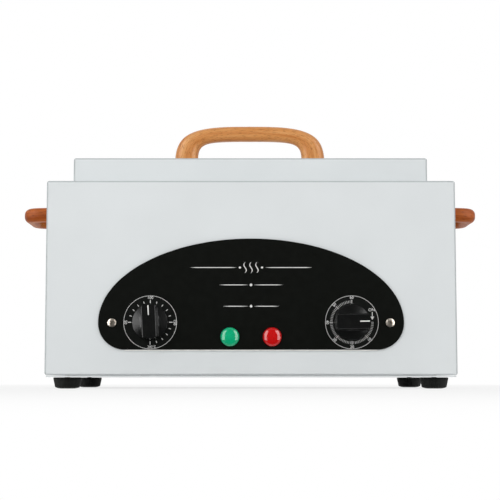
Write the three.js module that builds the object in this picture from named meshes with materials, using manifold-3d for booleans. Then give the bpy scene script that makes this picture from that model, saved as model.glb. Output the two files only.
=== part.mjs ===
// Dry heat sterilizer: a sheet steel box on rubber feet, with a hinged lid, wooden bow
// handles, a thermostat, a timer and two pilot lamps. Millimetres, +Z up, front towards -Y.

import * as THREE from "three";
import { mergeVertices } from "three/addons/utils/BufferGeometryUtils.js";
import loadManifold from "manifold-3d";

const manifoldLibrary = await loadManifold();
manifoldLibrary.setup();

// Gaps and cuts shared by all the pieces
const fitGap = 0.3;
const cutOverrun = 2;
const weldDistance = 0.0001;

// Housing
const bodyWidth = 319.6;
const bodyDepth = 180;
const bodyHeight = 153.2;
const bodySheet = 1.2;
const bodyBend = 2.5;
const sideFlange = 24;
const frontFlange = 12;
const rearFlange = 12;
const plateInset = 0.8;

// Feet
const footHeight = 9;
const footTopRadius = 11.2;
const footBottomRadius = 9.8;
const footCrown = 0.6;
const footSideInset = 15.2;
const footFrontInset = 21;
const footScrewHeadDepth = 4;

// Vent slots of the bottom plate and the back panel
const slotCount = 22;
const slotRows = 3;
const slotSideMargin = 48.5;
const slotWidth = 3;
const slotLength = 22;
const slotEndMargin = 42;
const backSlotCount = 12;
const backSlotMargin = 99.3;
const backSlotLength = 18;
const backSlotDrop = 24;

// Screws
const screwRadius = 2;
const screwHeadRadius = 3.3;
const screwHeadHeight = 2;
const screwTip = 3.5;
const driveWidth = 1;
const driveDepth = 0.9;
const backScrewInset = 9;

// Control panel
const panelSideMargin = 41.4;
const panelRise = 65.6;
const panelCorner = 20.8;
const panelHeight = 41.8;
const panelThickness = 1.6;
const panelScrewInset = 10.9;
const dialInset = 40.4;
const dialLift = 0.4;
const lampOffset = 16.3;
const lampDrop = 10.9;

// Knobs
const knobRadius = 14;
const knobSkirt = 4.5;
const knobHeight = 15.5;
const knobTopRadius = 12.9;
const knobRidge = 11;
const knobClearance = 0.6;
const knobShaftGrip = 9;
const knobScoop = 1.4;
const thermostatRestTurn = THREE.MathUtils.degToRad(-4.5);
const timerRestTurn = THREE.MathUtils.degToRad(90);

// Thermostat and timer
const shaftRadius = 3;
const bushingRadius = 5;
const thermostatWidth = 42;
const thermostatHeight = 34;
const thermostatDepth = 25;
const capillaryRadius = 0.9;
const capillaryTurn = 7;
const bulbRadius = 2.4;
const bulbLength = 92;
const bulbHeight = 10;
const timerRadius = 20;
const timerDepth = 26;
const bellRadius = 16;
const bellHeight = 7.5;
const bellSheet = 1.2;

// Pilot lamps
const lensRadius = 7.35;
const lensHeight = 5.4;
const lensCollar = 1;
const lensStem = 5;
const holderRadius = 7;
const holderDepth = 20;
const holderWall = 1.7;

// Lid
const lidSideMargin = 15.3;
const lidFrontMargin = 40;
const lidRearMargin = 16;
const lidHeight = 25.1;
const lidSheet = 1;
const lidBend = 2.5;
const linerSheet = 0.8;
const linerLift = 1.4;
const linerEdge = 8;
const plugGap = 2.5;
const plugDepth = 7;
const plugRounding = 10;

// Wooden bow handles: a large one on the lid and a short pull on each side
const lidBow = { length: 129.8, reach: 38.2, bar: 12.5, leg: 20, thickness: 16.2, rounding: 6.4 };
const sideBow = { length: 60, reach: 32, bar: 10.6, leg: 12.6, thickness: 11.8, rounding: 4.9 };
const sideHandleDrop = 16.5;
const handleScrewGrip = 14;

// Hinges
const hingeLength = 36;
const hingeInset = 52.5;
const hingeRadius = 3.2;
const hingePinRadius = 1.5;
const hingePinHead = 2.4;
const hingePinHeadHeight = 1.2;
const hingeSheet = 1.2;
const bodyLeafReach = 10.5;
const lidLeafReach = 14;

// Inner tank
const tankSheet = 1;
const tankDepth = 72;
const tankFlange = 9;
const tankFlangeInset = 5;
const tankRounding = 12;
const deckGap = 1;
const jacketGap = 0.4;
const jacketWall = 11;
const jacketFloor = 13;
const cradleSheet = 1.2;
const cradleFoot = 9;
const cradleInset = 6;
const postHoleGap = 1.5;

// Heater under the tank
const heaterInset = 14;
const heaterThickness = 3;
const clampSheet = 1;
const studRadius = 2;
const studInset = 19.5;
const nutRadius = 4;
const nutHeight = 3.2;
const postRadius = 3;
const postOffset = 34;
const postLength = 26;
const cutoutRadius = 9;
const cutoutHeight = 10;
const cutoutPinLength = 9;
const cutoutPinOffset = 4;

// Instrument tray
const trayEndGap = 9;
const traySideGap = 7;
const trayHeight = 28;
const traySheet = 1;
const trayFoot = 3.5;
const trayFootRadius = 3;
const trayRounding = 8;
const traySlotCount = 12;
const traySlotRows = 3;
const traySlotWidth = 3;
const traySlotBar = 7;
const traySlotEndMargin = 17.5;
const traySlotSideMargin = 9;
const gripWire = 1.5;
const gripWidth = 38;
const gripRise = 11;

// Power inlet, terminal block and wiring
const inletInset = 47.8;
const inletHeight = 30;
const inletWidth = 27;
const inletTall = 19.5;
const inletFlange = 2.2;
const inletFlangeWidth = 31.5;
const inletFlangeTall = 24.5;
const inletDepth = 20;
const inletSocketDepth = 15;
const inletWall = 1.6;
const inletPinWidth = 1.8;
const inletPinTall = 3.8;
const inletPinLength = 12;
const inletPinSpacing = 7;
const inletPinStep = 2.6;
const inletTabLength = 6;
const blockWidth = 34;
const blockDepth = 18;
const blockHeight = 13;
const blockInset = 81.8;
const blockSetback = 26;
const blockWays = 4;
const blockWayRadius = 2.4;
const wireRadius = 1.6;
const wireApproach = 7;

// Places worked out from the sizes
const shellBottom = bodySheet + fitGap;
const shellHeight = bodyHeight - shellBottom;
const shellDepth = bodyDepth - bodySheet - fitGap;
const flangeTop = shellBottom + bodySheet;
const panelFront = -fitGap - panelThickness;
const knobBack = panelFront - knobClearance;
const frontReach = knobHeight - knobBack;
const rearReach = fitGap + inletFlange;
const frontPlace = frontReach - (frontReach + bodyDepth + rearReach) / 2;
const panelHalfWidth = bodyWidth / 2 - panelSideMargin;
const panelScrewOffset = panelHalfWidth - panelScrewInset;
const dialOffset = panelHalfWidth - dialInset;
const dialHeight = panelHeight + dialLift;
const lampHeight = panelHeight - lampDrop;
const slotPitch = (bodyWidth - 2 * slotSideMargin) / (slotCount - 1);
const slotRowPitch = (bodyDepth - 2 * slotEndMargin) / (slotRows - 1);
const backSlotPitch = (bodyWidth - 2 * backSlotMargin) / (backSlotCount - 1);
const inletOffset = bodyWidth / 2 - inletInset;
const blockOffset = bodyWidth / 2 - blockInset;

const lidWidth = bodyWidth - 2 * lidSideMargin;
const lidDepth = bodyDepth - lidFrontMargin - lidRearMargin;
const lidMiddle = lidFrontMargin + lidDepth / 2;
const lidBase = bodyHeight + fitGap;
const lidTop = lidBase + lidHeight;
const lidInsideWidth = lidWidth - 2 * lidSheet;
const lidInsideDepth = lidDepth - 2 * lidSheet;

const tankFlangeWidth = lidInsideWidth - 2 * tankFlangeInset;
const tankFlangeDepth = lidInsideDepth - 2 * tankFlangeInset;
const tankOuterWidth = tankFlangeWidth - 2 * tankFlange;
const tankOuterDepth = tankFlangeDepth - 2 * tankFlange;
const studOffset = tankOuterWidth / 2 - heaterInset - studInset;
const tankWidth = tankOuterWidth - 2 * tankSheet;
const tankBreadth = tankOuterDepth - 2 * tankSheet;
const tankTop = bodyHeight + fitGap + tankSheet;
const tankFloor = tankTop - tankDepth;
const tankUnderside = tankFloor - tankSheet;
const heaterTop = tankUnderside - fitGap;
const clampTop = heaterTop - heaterThickness - fitGap;
const clampUnderside = clampTop - clampSheet;
const nutTop = clampUnderside - fitGap;
const studEnd = nutTop - nutHeight;
const jacketHollow = studEnd - fitGap;
const jacketUnderside = jacketHollow - jacketFloor;
const jacketWidth = tankOuterWidth + 2 * (jacketGap + jacketWall);
const jacketDepth = tankOuterDepth + 2 * (jacketGap + jacketWall);
const cradleTop = jacketUnderside - fitGap;

const hingeOffset = lidWidth / 2 - hingeInset;
const hingeAxisDepth = lidFrontMargin + lidDepth + fitGap + hingeRadius;
const hingeAxisHeight = bodyHeight + fitGap + hingeRadius;

// Geometry helpers

// A rectangle about the origin with rounded corners.
function roundedRectangle(width, height, radius) {
  const outline = new THREE.Shape();
  const x = width / 2;
  const y = height / 2;
  outline.moveTo(radius - x, -y);
  outline.lineTo(x - radius, -y);
  outline.absarc(x - radius, radius - y, radius, -Math.PI / 2, 0);
  outline.absarc(x - radius, y - radius, radius, 0, Math.PI / 2);
  outline.absarc(radius - x, y - radius, radius, Math.PI / 2, Math.PI);
  outline.absarc(radius - x, radius - y, radius, Math.PI, Math.PI * 1.5);
  outline.closePath();
  return outline;
}

function slab(shape, depth, arcSteps) {
  return new THREE.ExtrudeGeometry(shape, { depth, bevelEnabled: false, curveSegments: arcSteps });
}

// A plan outline, raised from z = 0.
function raised(shape, height, arcSteps = 4) {
  return slab(shape, height, arcSteps);
}

// A front outline, from y = 0 towards the back.
function standing(shape, depth, arcSteps = 4) {
  return slab(shape, depth, arcSteps).rotateX(Math.PI / 2).translate(0, depth, 0);
}

// A side outline drawn in depth and height, centred on x = 0.
function crosswise(shape, width, arcSteps = 4) {
  const turn = new THREE.Matrix4().makeBasis(
    new THREE.Vector3(0, 1, 0),
    new THREE.Vector3(0, 0, 1),
    new THREE.Vector3(1, 0, 0),
  );
  return slab(shape, width, arcSteps).applyMatrix4(turn).translate(-width / 2, 0, 0);
}

// A box that stands on z = 0 about x = 0 and y = 0.
function block(width, depth, height) {
  return new THREE.BoxGeometry(width, depth, height).translate(0, 0, height / 2);
}

// A body of revolution about Z, from pairs of radius and height.
function turned(profile, segments) {
  const points = profile.map(([radius, height]) => new THREE.Vector2(radius, height));
  return outward(new THREE.LatheGeometry(points, segments).rotateX(Math.PI / 2));
}

// A solid cylinder about Z that stands on z = 0.
function rod(radius, height, segments = 16) {
  return new THREE.CylinderGeometry(radius, radius, height, segments)
    .rotateX(Math.PI / 2)
    .translate(0, 0, height / 2);
}

// Turns a piece built about Z so that its top faces the front.
function facingFront(geometry) {
  return geometry.rotateX(Math.PI / 2);
}

// Turns a piece built about Z so that its top faces the back.
function facingBack(geometry) {
  return geometry.rotateX(-Math.PI / 2);
}

function signedVolume(geometry) {
  const place = geometry.getAttribute("position");
  const corners = geometry.index ? geometry.index.array : [...Array(place.count).keys()];
  const a = new THREE.Vector3();
  const b = new THREE.Vector3();
  const c = new THREE.Vector3();
  let total = 0;
  for (let i = 0; i < corners.length; i += 3) {
    a.fromBufferAttribute(place, corners[i]);
    b.fromBufferAttribute(place, corners[i + 1]);
    c.fromBufferAttribute(place, corners[i + 2]);
    total += a.dot(b.cross(c));
  }
  return total;
}

// Flips the triangles of an indexed geometry whose faces look inward.
function outward(geometry) {
  if (signedVolume(geometry) < 0) {
    const corners = geometry.index.array;
    for (let i = 0; i < corners.length; i += 3) {
      [corners[i], corners[i + 1]] = [corners[i + 1], corners[i]];
    }
  }
  return geometry;
}

// Welds a geometry's corners and drops the triangles that collapse.
function toSolid(geometry) {
  const bare = new THREE.BufferGeometry();
  bare.setAttribute("position", geometry.getAttribute("position"));
  bare.setIndex(geometry.index);
  const welded = mergeVertices(bare, weldDistance);
  const corners = welded.index.array;
  const kept = [];
  for (let i = 0; i < corners.length; i += 3) {
    const [a, b, c] = corners.slice(i, i + 3);
    if (a !== b && b !== c && c !== a) {
      kept.push(a, b, c);
    }
  }
  return new manifoldLibrary.Manifold(new manifoldLibrary.Mesh({
    numProp: 3,
    vertProperties: new Float32Array(welded.getAttribute("position").array),
    triVerts: new Uint32Array(kept),
  }));
}

function toGeometry(solid) {
  const mesh = solid.getMesh();
  const geometry = new THREE.BufferGeometry();
  geometry.setAttribute("position", new THREE.BufferAttribute(mesh.vertProperties, 3));
  geometry.setIndex(new THREE.BufferAttribute(mesh.triVerts, 1));
  return geometry;
}

function joined(...geometries) {
  return toGeometry(geometries.map(toSolid).reduce((whole, piece) => whole.add(piece)));
}

function cut(base, ...tools) {
  return toGeometry(tools.map(toSolid).reduce((whole, tool) => whole.subtract(tool), toSolid(base)));
}

function shared(...geometries) {
  return toGeometry(geometries.map(toSolid).reduce((whole, piece) => whole.intersect(piece)));
}

// Cutters for a plate whose outline is drawn in x and y and raised from z = 0.
function roundHole(x, y, radius, segments = 16) {
  return rod(radius, bodySheet + 2 * cutOverrun, segments).translate(x, y, -cutOverrun);
}

function slotHole(x, y, width, height) {
  return block(width, height, bodySheet + 2 * cutOverrun).translate(x, y, -cutOverrun);
}

// Stands a plate raised from z = 0 upright, its front at y = 0.
function upright(geometry, depth) {
  return geometry.rotateX(Math.PI / 2).translate(0, depth, 0);
}

// A block with all its edges rounded, standing on z = 0 with its front at y = 0.
function roundedBlock(width, depth, height, radius, arcSteps = 2) {
  const plan = raised(roundedRectangle(width, depth, radius), height, arcSteps);
  plan.translate(0, depth / 2, 0);
  const front = standing(roundedRectangle(width, height, radius), depth, arcSteps);
  front.translate(0, 0, height / 2);
  const side = crosswise(roundedRectangle(depth, height, radius), width, arcSteps);
  side.translate(0, depth / 2, height / 2);
  return shared(plan, front, side);
}

// A pressed tray or lid: a floor-down block open at z = 0, rounded at its sides and top.
function pressedCover(width, depth, height, sheet, radius) {
  const tall = height + radius + cutOverrun;
  const outer = roundedBlock(width, depth, tall, radius);
  outer.translate(0, 0, height - tall);
  const inner = roundedBlock(width - 2 * sheet, depth - 2 * sheet, tall - sheet, radius - sheet);
  inner.translate(0, sheet, height - tall);
  const below = block(width + cutOverrun, depth + cutOverrun, tall - height);
  below.translate(0, depth / 2, height - tall);
  return cut(outer, inner, below);
}

// A domed head above z = 0 and a shank below it.
function plainScrew(length) {
  return turned([
    [0, -length],
    [screwRadius, -length],
    [screwRadius, 0],
    [screwHeadRadius, 0],
    [screwHeadRadius * Math.cos(Math.PI / 5), screwHeadHeight * Math.cos(Math.PI / 8)],
    [0, screwHeadHeight],
  ], 12);
}

// The same screw with a cross recess, for the places that show.
function crossScrew(length) {
  const bar = block(screwHeadRadius * 1.2, driveWidth, driveDepth + cutOverrun);
  bar.translate(0, 0, screwHeadHeight - driveDepth);
  return cut(plainScrew(length), bar, bar.clone().rotateZ(Math.PI / 2));
}

// Materials

function finish(color, roughness, metalness = 0) {
  return new THREE.MeshStandardMaterial({ color, roughness, metalness });
}

const paintedSteel = finish("#dcdfe0", 0.4);
const zincSteel = finish("#b9bcbc", 0.4, 1);
const stainless = finish("#c9cbcb", 0.28, 1);
const blackPlastic = finish("#141614", 0.35);
const panelBlack = finish("#121412", 0.5);
const rubber = finish("#1c1d1c", 0.75);
const paleWood = finish("#c68a57", 0.4);
const darkWood = finish("#8f5230", 0.4);
const glassWool = finish("#d8cf9a", 0.95);
const mica = finish("#a89a7c", 0.6);
const brass = finish("#b79a55", 0.35, 1);
const copper = finish("#b4724a", 0.35, 1);
const greenLens = finish("#0ea172", 0.15);
const redLens = finish("#b81010", 0.15);
const greyPlastic = finish("#6a6d6c", 0.5);
const wireSleeve = finish("#8c2f26", 0.6);

// Housing pieces. Their origin is the middle of the front face at the underside.

const footPlaces = [];
for (const [depthName, depth] of [["front", footFrontInset], ["rear", bodyDepth - footFrontInset]]) {
  for (const [sideName, side] of [["left", -1], ["right", 1]]) {
    footPlaces.push({
      name: `${depthName}_${sideName}`,
      x: side * (bodyWidth / 2 - footSideInset),
      y: depth,
    });
  }
}

const backScrewPlaces = [];
for (const [levelName, level] of [["lower", -1], ["upper", 1]]) {
  for (const [sideName, side] of [["left", -1], ["right", 1]]) {
    backScrewPlaces.push({
      name: `${levelName}_${sideName}`,
      x: side * (bodyWidth / 2 - backScrewInset),
      z: shellBottom + shellHeight / 2 + level * (shellHeight / 2 - backScrewInset),
    });
  }
}

const lidScrewOffset = lidBow.length / 2 - lidBow.leg / 2;
const sideScrewOffset = sideBow.length / 2 - sideBow.leg / 2;
const sideHandleHeight = bodyHeight - sideHandleDrop;
const screwHole = screwRadius + fitGap;

// A straight round cutter towards the back through a sheet whose front is at y = depth.
function frontCutter(x, depth, z, radius, through, segments = 20) {
  const cutter = facingBack(rod(radius, through + 2 * cutOverrun, segments));
  return cutter.translate(x, depth - cutOverrun, z);
}

function housingShell() {
  const outer = roundedBlock(bodyWidth, shellDepth, shellHeight, bodyBend, 2);
  const inner = roundedBlock(
    bodyWidth - 2 * bodySheet,
    shellDepth - 2 * bodySheet,
    shellHeight - 2 * bodySheet,
    bodyBend - bodySheet,
    2,
  ).translate(0, bodySheet, bodySheet);
  const rearWindow = block(
    bodyWidth - 2 * (bodySheet + rearFlange),
    bodySheet + 2 * cutOverrun,
    shellHeight - 2 * (bodySheet + rearFlange),
  ).translate(0, shellDepth - bodySheet / 2, bodySheet + rearFlange);
  const floorDepth = shellDepth - 2 * bodySheet - frontFlange - rearFlange;
  const floorWindow = block(
    bodyWidth - 2 * (bodySheet + sideFlange),
    floorDepth,
    bodySheet + 2 * cutOverrun,
  ).translate(0, bodySheet + frontFlange + floorDepth / 2, -cutOverrun);
  const deckWindow = raised(
    roundedRectangle(tankOuterWidth + 2 * deckGap, tankOuterDepth + 2 * deckGap, tankRounding + deckGap),
    bodySheet + 2 * cutOverrun,
    2,
  ).translate(0, lidMiddle, shellHeight - bodySheet - cutOverrun);
  const shell = cut(outer, inner, rearWindow, floorWindow, deckWindow);
  shell.translate(0, 0, shellBottom);

  const holes = [];
  for (const side of [-1, 1]) {
    holes.push(frontCutter(side * dialOffset, 0, dialHeight, bushingRadius + fitGap, bodySheet));
    holes.push(frontCutter(side * lampOffset, 0, lampHeight, lensStem + fitGap, bodySheet));
    holes.push(frontCutter(side * panelScrewOffset, 0, panelHeight, screwHole, bodySheet, 12));
    for (const end of [-1, 1]) {
      const hole = rod(screwHole, bodySheet + 2 * cutOverrun, 12).rotateY(side * Math.PI / 2);
      hole.translate(
        side * (bodyWidth / 2 - bodySheet - cutOverrun),
        lidMiddle + end * sideScrewOffset,
        sideHandleHeight,
      );
      holes.push(hole);
    }
  }
  for (const foot of footPlaces) {
    const hole = rod(screwHole, bodySheet + 2 * cutOverrun, 12);
    holes.push(hole.translate(foot.x, foot.y, shellBottom - cutOverrun));
  }
  for (const screw of backScrewPlaces) {
    holes.push(frontCutter(screw.x, shellDepth - bodySheet, screw.z, screwHole, bodySheet, 12));
  }
  return cut(shell, ...holes);
}

function backPanel() {
  const middle = shellBottom + shellHeight / 2;
  const outline = roundedRectangle(bodyWidth - 2 * plateInset, shellHeight - 2 * plateInset, bodyBend);
  const holes = backScrewPlaces.map((screw) => roundHole(screw.x, screw.z - middle, screwHole, 12));
  for (let i = 0; i < backSlotCount; i += 1) {
    const x = (i - (backSlotCount - 1) / 2) * backSlotPitch;
    holes.push(slotHole(x, shellHeight / 2 - backSlotDrop, slotWidth, backSlotLength));
  }
  holes.push(slotHole(
    -inletOffset,
    inletHeight - middle,
    inletWidth + 2 * fitGap,
    inletTall + 2 * fitGap,
  ));
  return upright(cut(raised(outline, bodySheet, 3), ...holes), bodySheet).translate(0, 0, middle);
}

function bottomPlate() {
  const outline = roundedRectangle(bodyWidth - 2 * plateInset, bodyDepth - 2 * plateInset, bodyBend);
  const holes = footPlaces.map((foot) => roundHole(foot.x, foot.y - bodyDepth / 2, screwHole, 12));
  for (let row = 0; row < slotRows; row += 1) {
    for (let i = 0; i < slotCount; i += 1) {
      const x = (i - (slotCount - 1) / 2) * slotPitch;
      const y = (row - (slotRows - 1) / 2) * slotRowPitch;
      holes.push(slotHole(x, y, slotWidth, slotLength));
    }
  }
  return cut(raised(outline, bodySheet, 3), ...holes).translate(0, bodyDepth / 2, 0);
}

// The foot hangs from z = 0. Its recess takes the screw's head.
function foot() {
  const recess = screwHeadRadius + fitGap;
  const seat = footScrewHeadDepth - footHeight;
  const edge = footCrown - footHeight;
  return turned([
    [screwHole, -fitGap],
    [screwHole, seat],
    [recess, seat],
    [recess, -footHeight],
    [(recess + footBottomRadius) / 2, -footHeight],
    [footBottomRadius - footCrown, edge + (-footHeight - edge) / 2],
    [footBottomRadius, edge],
    [footTopRadius, -fitGap - footCrown],
    [footTopRadius - footCrown, -fitGap],
    [screwHole, -fitGap],
  ], 24);
}

function footScrew() {
  const seat = footHeight - footScrewHeadDepth;
  return crossScrew(seat + flangeTop + screwTip).rotateX(Math.PI).translate(0, 0, -seat - fitGap);
}

function backScrew() {
  return facingBack(crossScrew(2 * bodySheet + fitGap + screwTip)).translate(0, fitGap, 0);
}

// Controls. Fronts face -Y, and the origin is on the axis at the housing's front face.

function controlPanel() {
  const outline = new THREE.Shape();
  outline.moveTo(-panelHalfWidth, 0);
  outline.absarc(panelCorner - panelHalfWidth, 0, panelCorner, Math.PI, Math.PI * 1.5);
  outline.absarc(panelHalfWidth - panelCorner, 0, panelCorner, -Math.PI / 2, 0);
  outline.absellipse(0, 0, panelHalfWidth, panelRise, 0, Math.PI);
  outline.closePath();
  const holes = [-1, 1].flatMap((side) => [
    roundHole(side * dialOffset, dialLift, bushingRadius + fitGap, 20),
    roundHole(side * lampOffset, -lampDrop, lensStem + fitGap, 20),
    roundHole(side * panelScrewOffset, 0, screwHole, 12),
  ]);
  return upright(cut(raised(outline, panelThickness, 10), ...holes), panelThickness);
}

function panelScrew() {
  return facingFront(crossScrew(panelThickness + bodySheet + fitGap + screwTip));
}

// A round skirt with a raised grip across it and a bore for the shaft, its back on y = 0.
function knob() {
  const skirt = turned([
    [0, 0],
    [knobRadius, 0],
    [knobRadius, knobSkirt / 2],
    [knobRadius - knobSkirt / 4, knobSkirt],
    [0, knobSkirt],
  ], 32);
  const cone = turned([
    [0, 0],
    [knobRadius, 0],
    [knobTopRadius, knobHeight - knobSkirt / 4],
    [knobTopRadius - knobSkirt / 4, knobHeight],
    [0, knobHeight],
  ], 32);
  const half = knobRidge / 2;
  const flank = new THREE.Shape();
  flank.moveTo(-half - 2 * knobScoop, 0);
  flank.lineTo(half + 2 * knobScoop, 0);
  flank.lineTo(half + 2 * knobScoop, knobSkirt);
  flank.quadraticCurveTo(half, knobSkirt, half, knobHeight);
  flank.lineTo(-half, knobHeight);
  flank.quadraticCurveTo(-half, knobSkirt, -half - 2 * knobScoop, knobSkirt);
  flank.closePath();
  const ridge = standing(flank, 2 * knobRadius + cutOverrun, 4);
  ridge.translate(0, -knobRadius - cutOverrun / 2, 0);
  const bore = rod(shaftRadius + fitGap, knobShaftGrip + cutOverrun, 16).translate(0, 0, -cutOverrun);
  return facingFront(cut(joined(skirt, shared(cone, ridge)), bore));
}

// The shaft runs from inside the bushing to the blind end of the knob's bore.
function controlShaft() {
  const length = knobShaftGrip - fitGap - knobBack + bodySheet + bushingRadius;
  return facingBack(rod(shaftRadius, length)).translate(0, knobBack - knobShaftGrip + fitGap, 0);
}

// A bushing that passes the sheet and the panel, bored for the shaft.
function bushing() {
  const length = bodySheet + fitGap + panelThickness + fitGap;
  return facingBack(rod(bushingRadius, length, 20)).translate(0, bodySheet + fitGap - length + cutOverrun, 0);
}

function shaftBore() {
  const length = bodySheet + bushingRadius + fitGap - panelFront + cutOverrun;
  return facingBack(rod(shaftRadius + fitGap, length)).translate(0, panelFront - cutOverrun, 0);
}

function thermostatBody() {
  const back = bodySheet + fitGap;
  const box = block(thermostatWidth, thermostatDepth, thermostatHeight);
  box.translate(0, back + thermostatDepth / 2, -thermostatHeight / 2);
  const collar = facingBack(rod(bushingRadius * 2, thermostatDepth / 2 + cutOverrun, 20));
  collar.translate(0, back + thermostatDepth / 2, 0);
  const tabs = [-1, 1].map((side) => block(driveWidth, thermostatDepth / 4, screwTip + cutOverrun)
    .translate(side * thermostatWidth / 4, back + thermostatDepth / 2, -thermostatHeight / 2 - screwTip));
  return cut(joined(box, bushing(), collar, ...tabs), shaftBore());
}

// The tube rises from the thermostat, passes the jacket and the tank's wall and ends in a bulb.
const capillaryStart = dialHeight + thermostatHeight / 2 + fitGap;
const capillaryLevel = tankFloor + bulbHeight;
const capillaryDepth = bodySheet + fitGap + thermostatDepth / 2;
const bulbDepth = lidMiddle - tankBreadth / 2 + fitGap + bulbRadius;

function capillary() {
  const route = new THREE.CurvePath();
  const x = -dialOffset;
  const corner = (y, z, dx = 0) => new THREE.Vector3(x + dx, y, z);
  const start = corner(capillaryDepth, capillaryStart);
  const rise = corner(capillaryDepth, capillaryLevel - capillaryTurn);
  const over = corner(capillaryDepth + capillaryTurn, capillaryLevel);
  const turn = corner(bulbDepth - bulbRadius, capillaryLevel);
  const bulbStart = corner(bulbDepth, capillaryLevel, bulbRadius);
  route.add(new THREE.LineCurve3(start, rise));
  route.add(new THREE.QuadraticBezierCurve3(rise, corner(capillaryDepth, capillaryLevel), over));
  route.add(new THREE.LineCurve3(over, turn));
  route.add(new THREE.QuadraticBezierCurve3(turn, corner(bulbDepth, capillaryLevel), bulbStart));
  const section = new THREE.Shape();
  section.absarc(0, 0, capillaryRadius, 0, Math.PI * 2);
  const tube = new THREE.ExtrudeGeometry(section, { steps: 22, curveSegments: 3, extrudePath: route });
  const bulb = rod(bulbRadius, bulbLength, 12).rotateY(Math.PI / 2);
  bulb.translate(x + bulbRadius / 2, bulbDepth, capillaryLevel);
  return joined(tube, bulb);
}

function capillaryCutter() {
  const reach = bulbDepth - capillaryDepth;
  const cutter = facingBack(rod(capillaryRadius + 2 * fitGap, reach, 12));
  return cutter.translate(-dialOffset, capillaryDepth, capillaryLevel);
}

function timerBody() {
  const back = bodySheet + fitGap;
  const drum = facingBack(rod(timerRadius, timerDepth, 32)).translate(0, back, 0);
  const stem = facingBack(rod(bellSheet, bellHeight / 2, 10)).translate(0, back + timerDepth, 0);
  return cut(joined(drum, stem, bushing()), shaftBore());
}

// A dished gong that hangs on the timer's stem, open towards the timer.
function timerBell() {
  const bore = bellSheet + fitGap;
  const top = bellHeight;
  return facingBack(turned([
    [bore, top],
    [bore, top - bellSheet],
    [bellRadius * 0.6, top - bellSheet],
    [bellRadius - bellSheet, top * 0.6],
    [bellRadius - bellSheet, 0],
    [bellRadius, 0],
    [bellRadius, top * 0.65],
    [bellRadius * 0.64, top],
    [bore, top],
  ], 20));
}

function lampLens() {
  const rise = lensHeight - lensCollar;
  const profile = [
    [0, panelFront - bodySheet - cutOverrun],
    [lensStem, panelFront - bodySheet - cutOverrun],
    [lensStem, 0],
    [lensRadius, 0],
    [lensRadius, lensCollar],
  ];
  for (let i = 1; i <= 3; i += 1) {
    const angle = (i / 4) * (Math.PI / 2);
    profile.push([lensRadius * Math.cos(angle), lensCollar + rise * Math.sin(angle)]);
  }
  profile.push([0, lensHeight]);
  return facingFront(turned(profile, 24));
}

function lampHolder() {
  const stemEnd = bodySheet + cutOverrun;
  const cup = stemEnd - bodySheet;
  return facingBack(turned([
    [0, cup],
    [holderRadius - holderWall, cup],
    [holderRadius - holderWall, 0],
    [holderRadius, 0],
    [holderRadius, holderDepth * 0.55],
    [holderRadius * 0.7, holderDepth * 0.6],
    [holderRadius * 0.7, holderDepth],
    [0, holderDepth],
  ], 14));
}

// Lid pieces. Their origin is the middle of the lid's front at its lower rim.

function handleScrewCutters(radius, depth, top) {
  return [-1, 1].map((side) => rod(radius, depth, 14)
    .translate(side * lidScrewOffset, lidDepth / 2, top - depth));
}

function lidShell() {
  const cover = pressedCover(lidWidth, lidDepth, lidHeight, lidSheet, lidBend);
  return cut(cover, ...handleScrewCutters(screwHole, lidSheet + 2 * cutOverrun, lidHeight + cutOverrun));
}

const linerLevel = tankTop - lidBase + linerLift;

// A flat rim inside the lid's walls, pressed down in the middle to fill the tank's mouth.
function lidLiner() {
  const edge = fitGap + lidSheet;
  const upstand = pressedCover(
    lidWidth - 2 * edge,
    lidDepth - 2 * edge,
    linerEdge,
    linerSheet,
    lidBend - lidSheet,
  ).rotateY(Math.PI).translate(0, edge, linerLevel + linerEdge);
  const plugWidth = tankWidth - 2 * plugGap;
  const plugBreadth = tankBreadth - 2 * plugGap;
  const outer = raised(roundedRectangle(plugWidth, plugBreadth, plugRounding), plugDepth + linerSheet, 2);
  outer.translate(0, lidDepth / 2, linerLevel - plugDepth);
  const inner = raised(
    roundedRectangle(plugWidth - 2 * linerSheet, plugBreadth - 2 * linerSheet, plugRounding - linerSheet),
    plugDepth + cutOverrun,
    2,
  ).translate(0, lidDepth / 2, linerLevel - plugDepth + linerSheet);
  return cut(joined(upstand, outer), inner);
}

function lidInsulation() {
  const edge = lidSheet + fitGap + linerSheet + fitGap;
  const base = linerLevel + linerSheet + fitGap;
  const height = lidHeight - lidSheet - fitGap - base;
  const pad = block(lidWidth - 2 * edge, lidDepth - 2 * edge, height);
  pad.translate(0, lidDepth / 2, base);
  const pocket = screwHeadHeight + 2 * fitGap;
  const top = lidHeight - lidSheet;
  return cut(pad, ...handleScrewCutters(screwHeadRadius + fitGap, pocket + fitGap, top));
}

// A bow handle: its legs stand on z = 0, it spans X and its section is rounded.
const shoulderStartShare = 0.253;
const crownHalfShare = 0.382;
const shoulderPullShare = 0.694;
const crownPullShare = 0.693;
const innerStartShare = 0.5;
const innerCrownShare = 0.55;
const innerPullShare = 0.4;
const innerCrownPullShare = 0.82;
const legTaperShare = 0.006;

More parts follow.
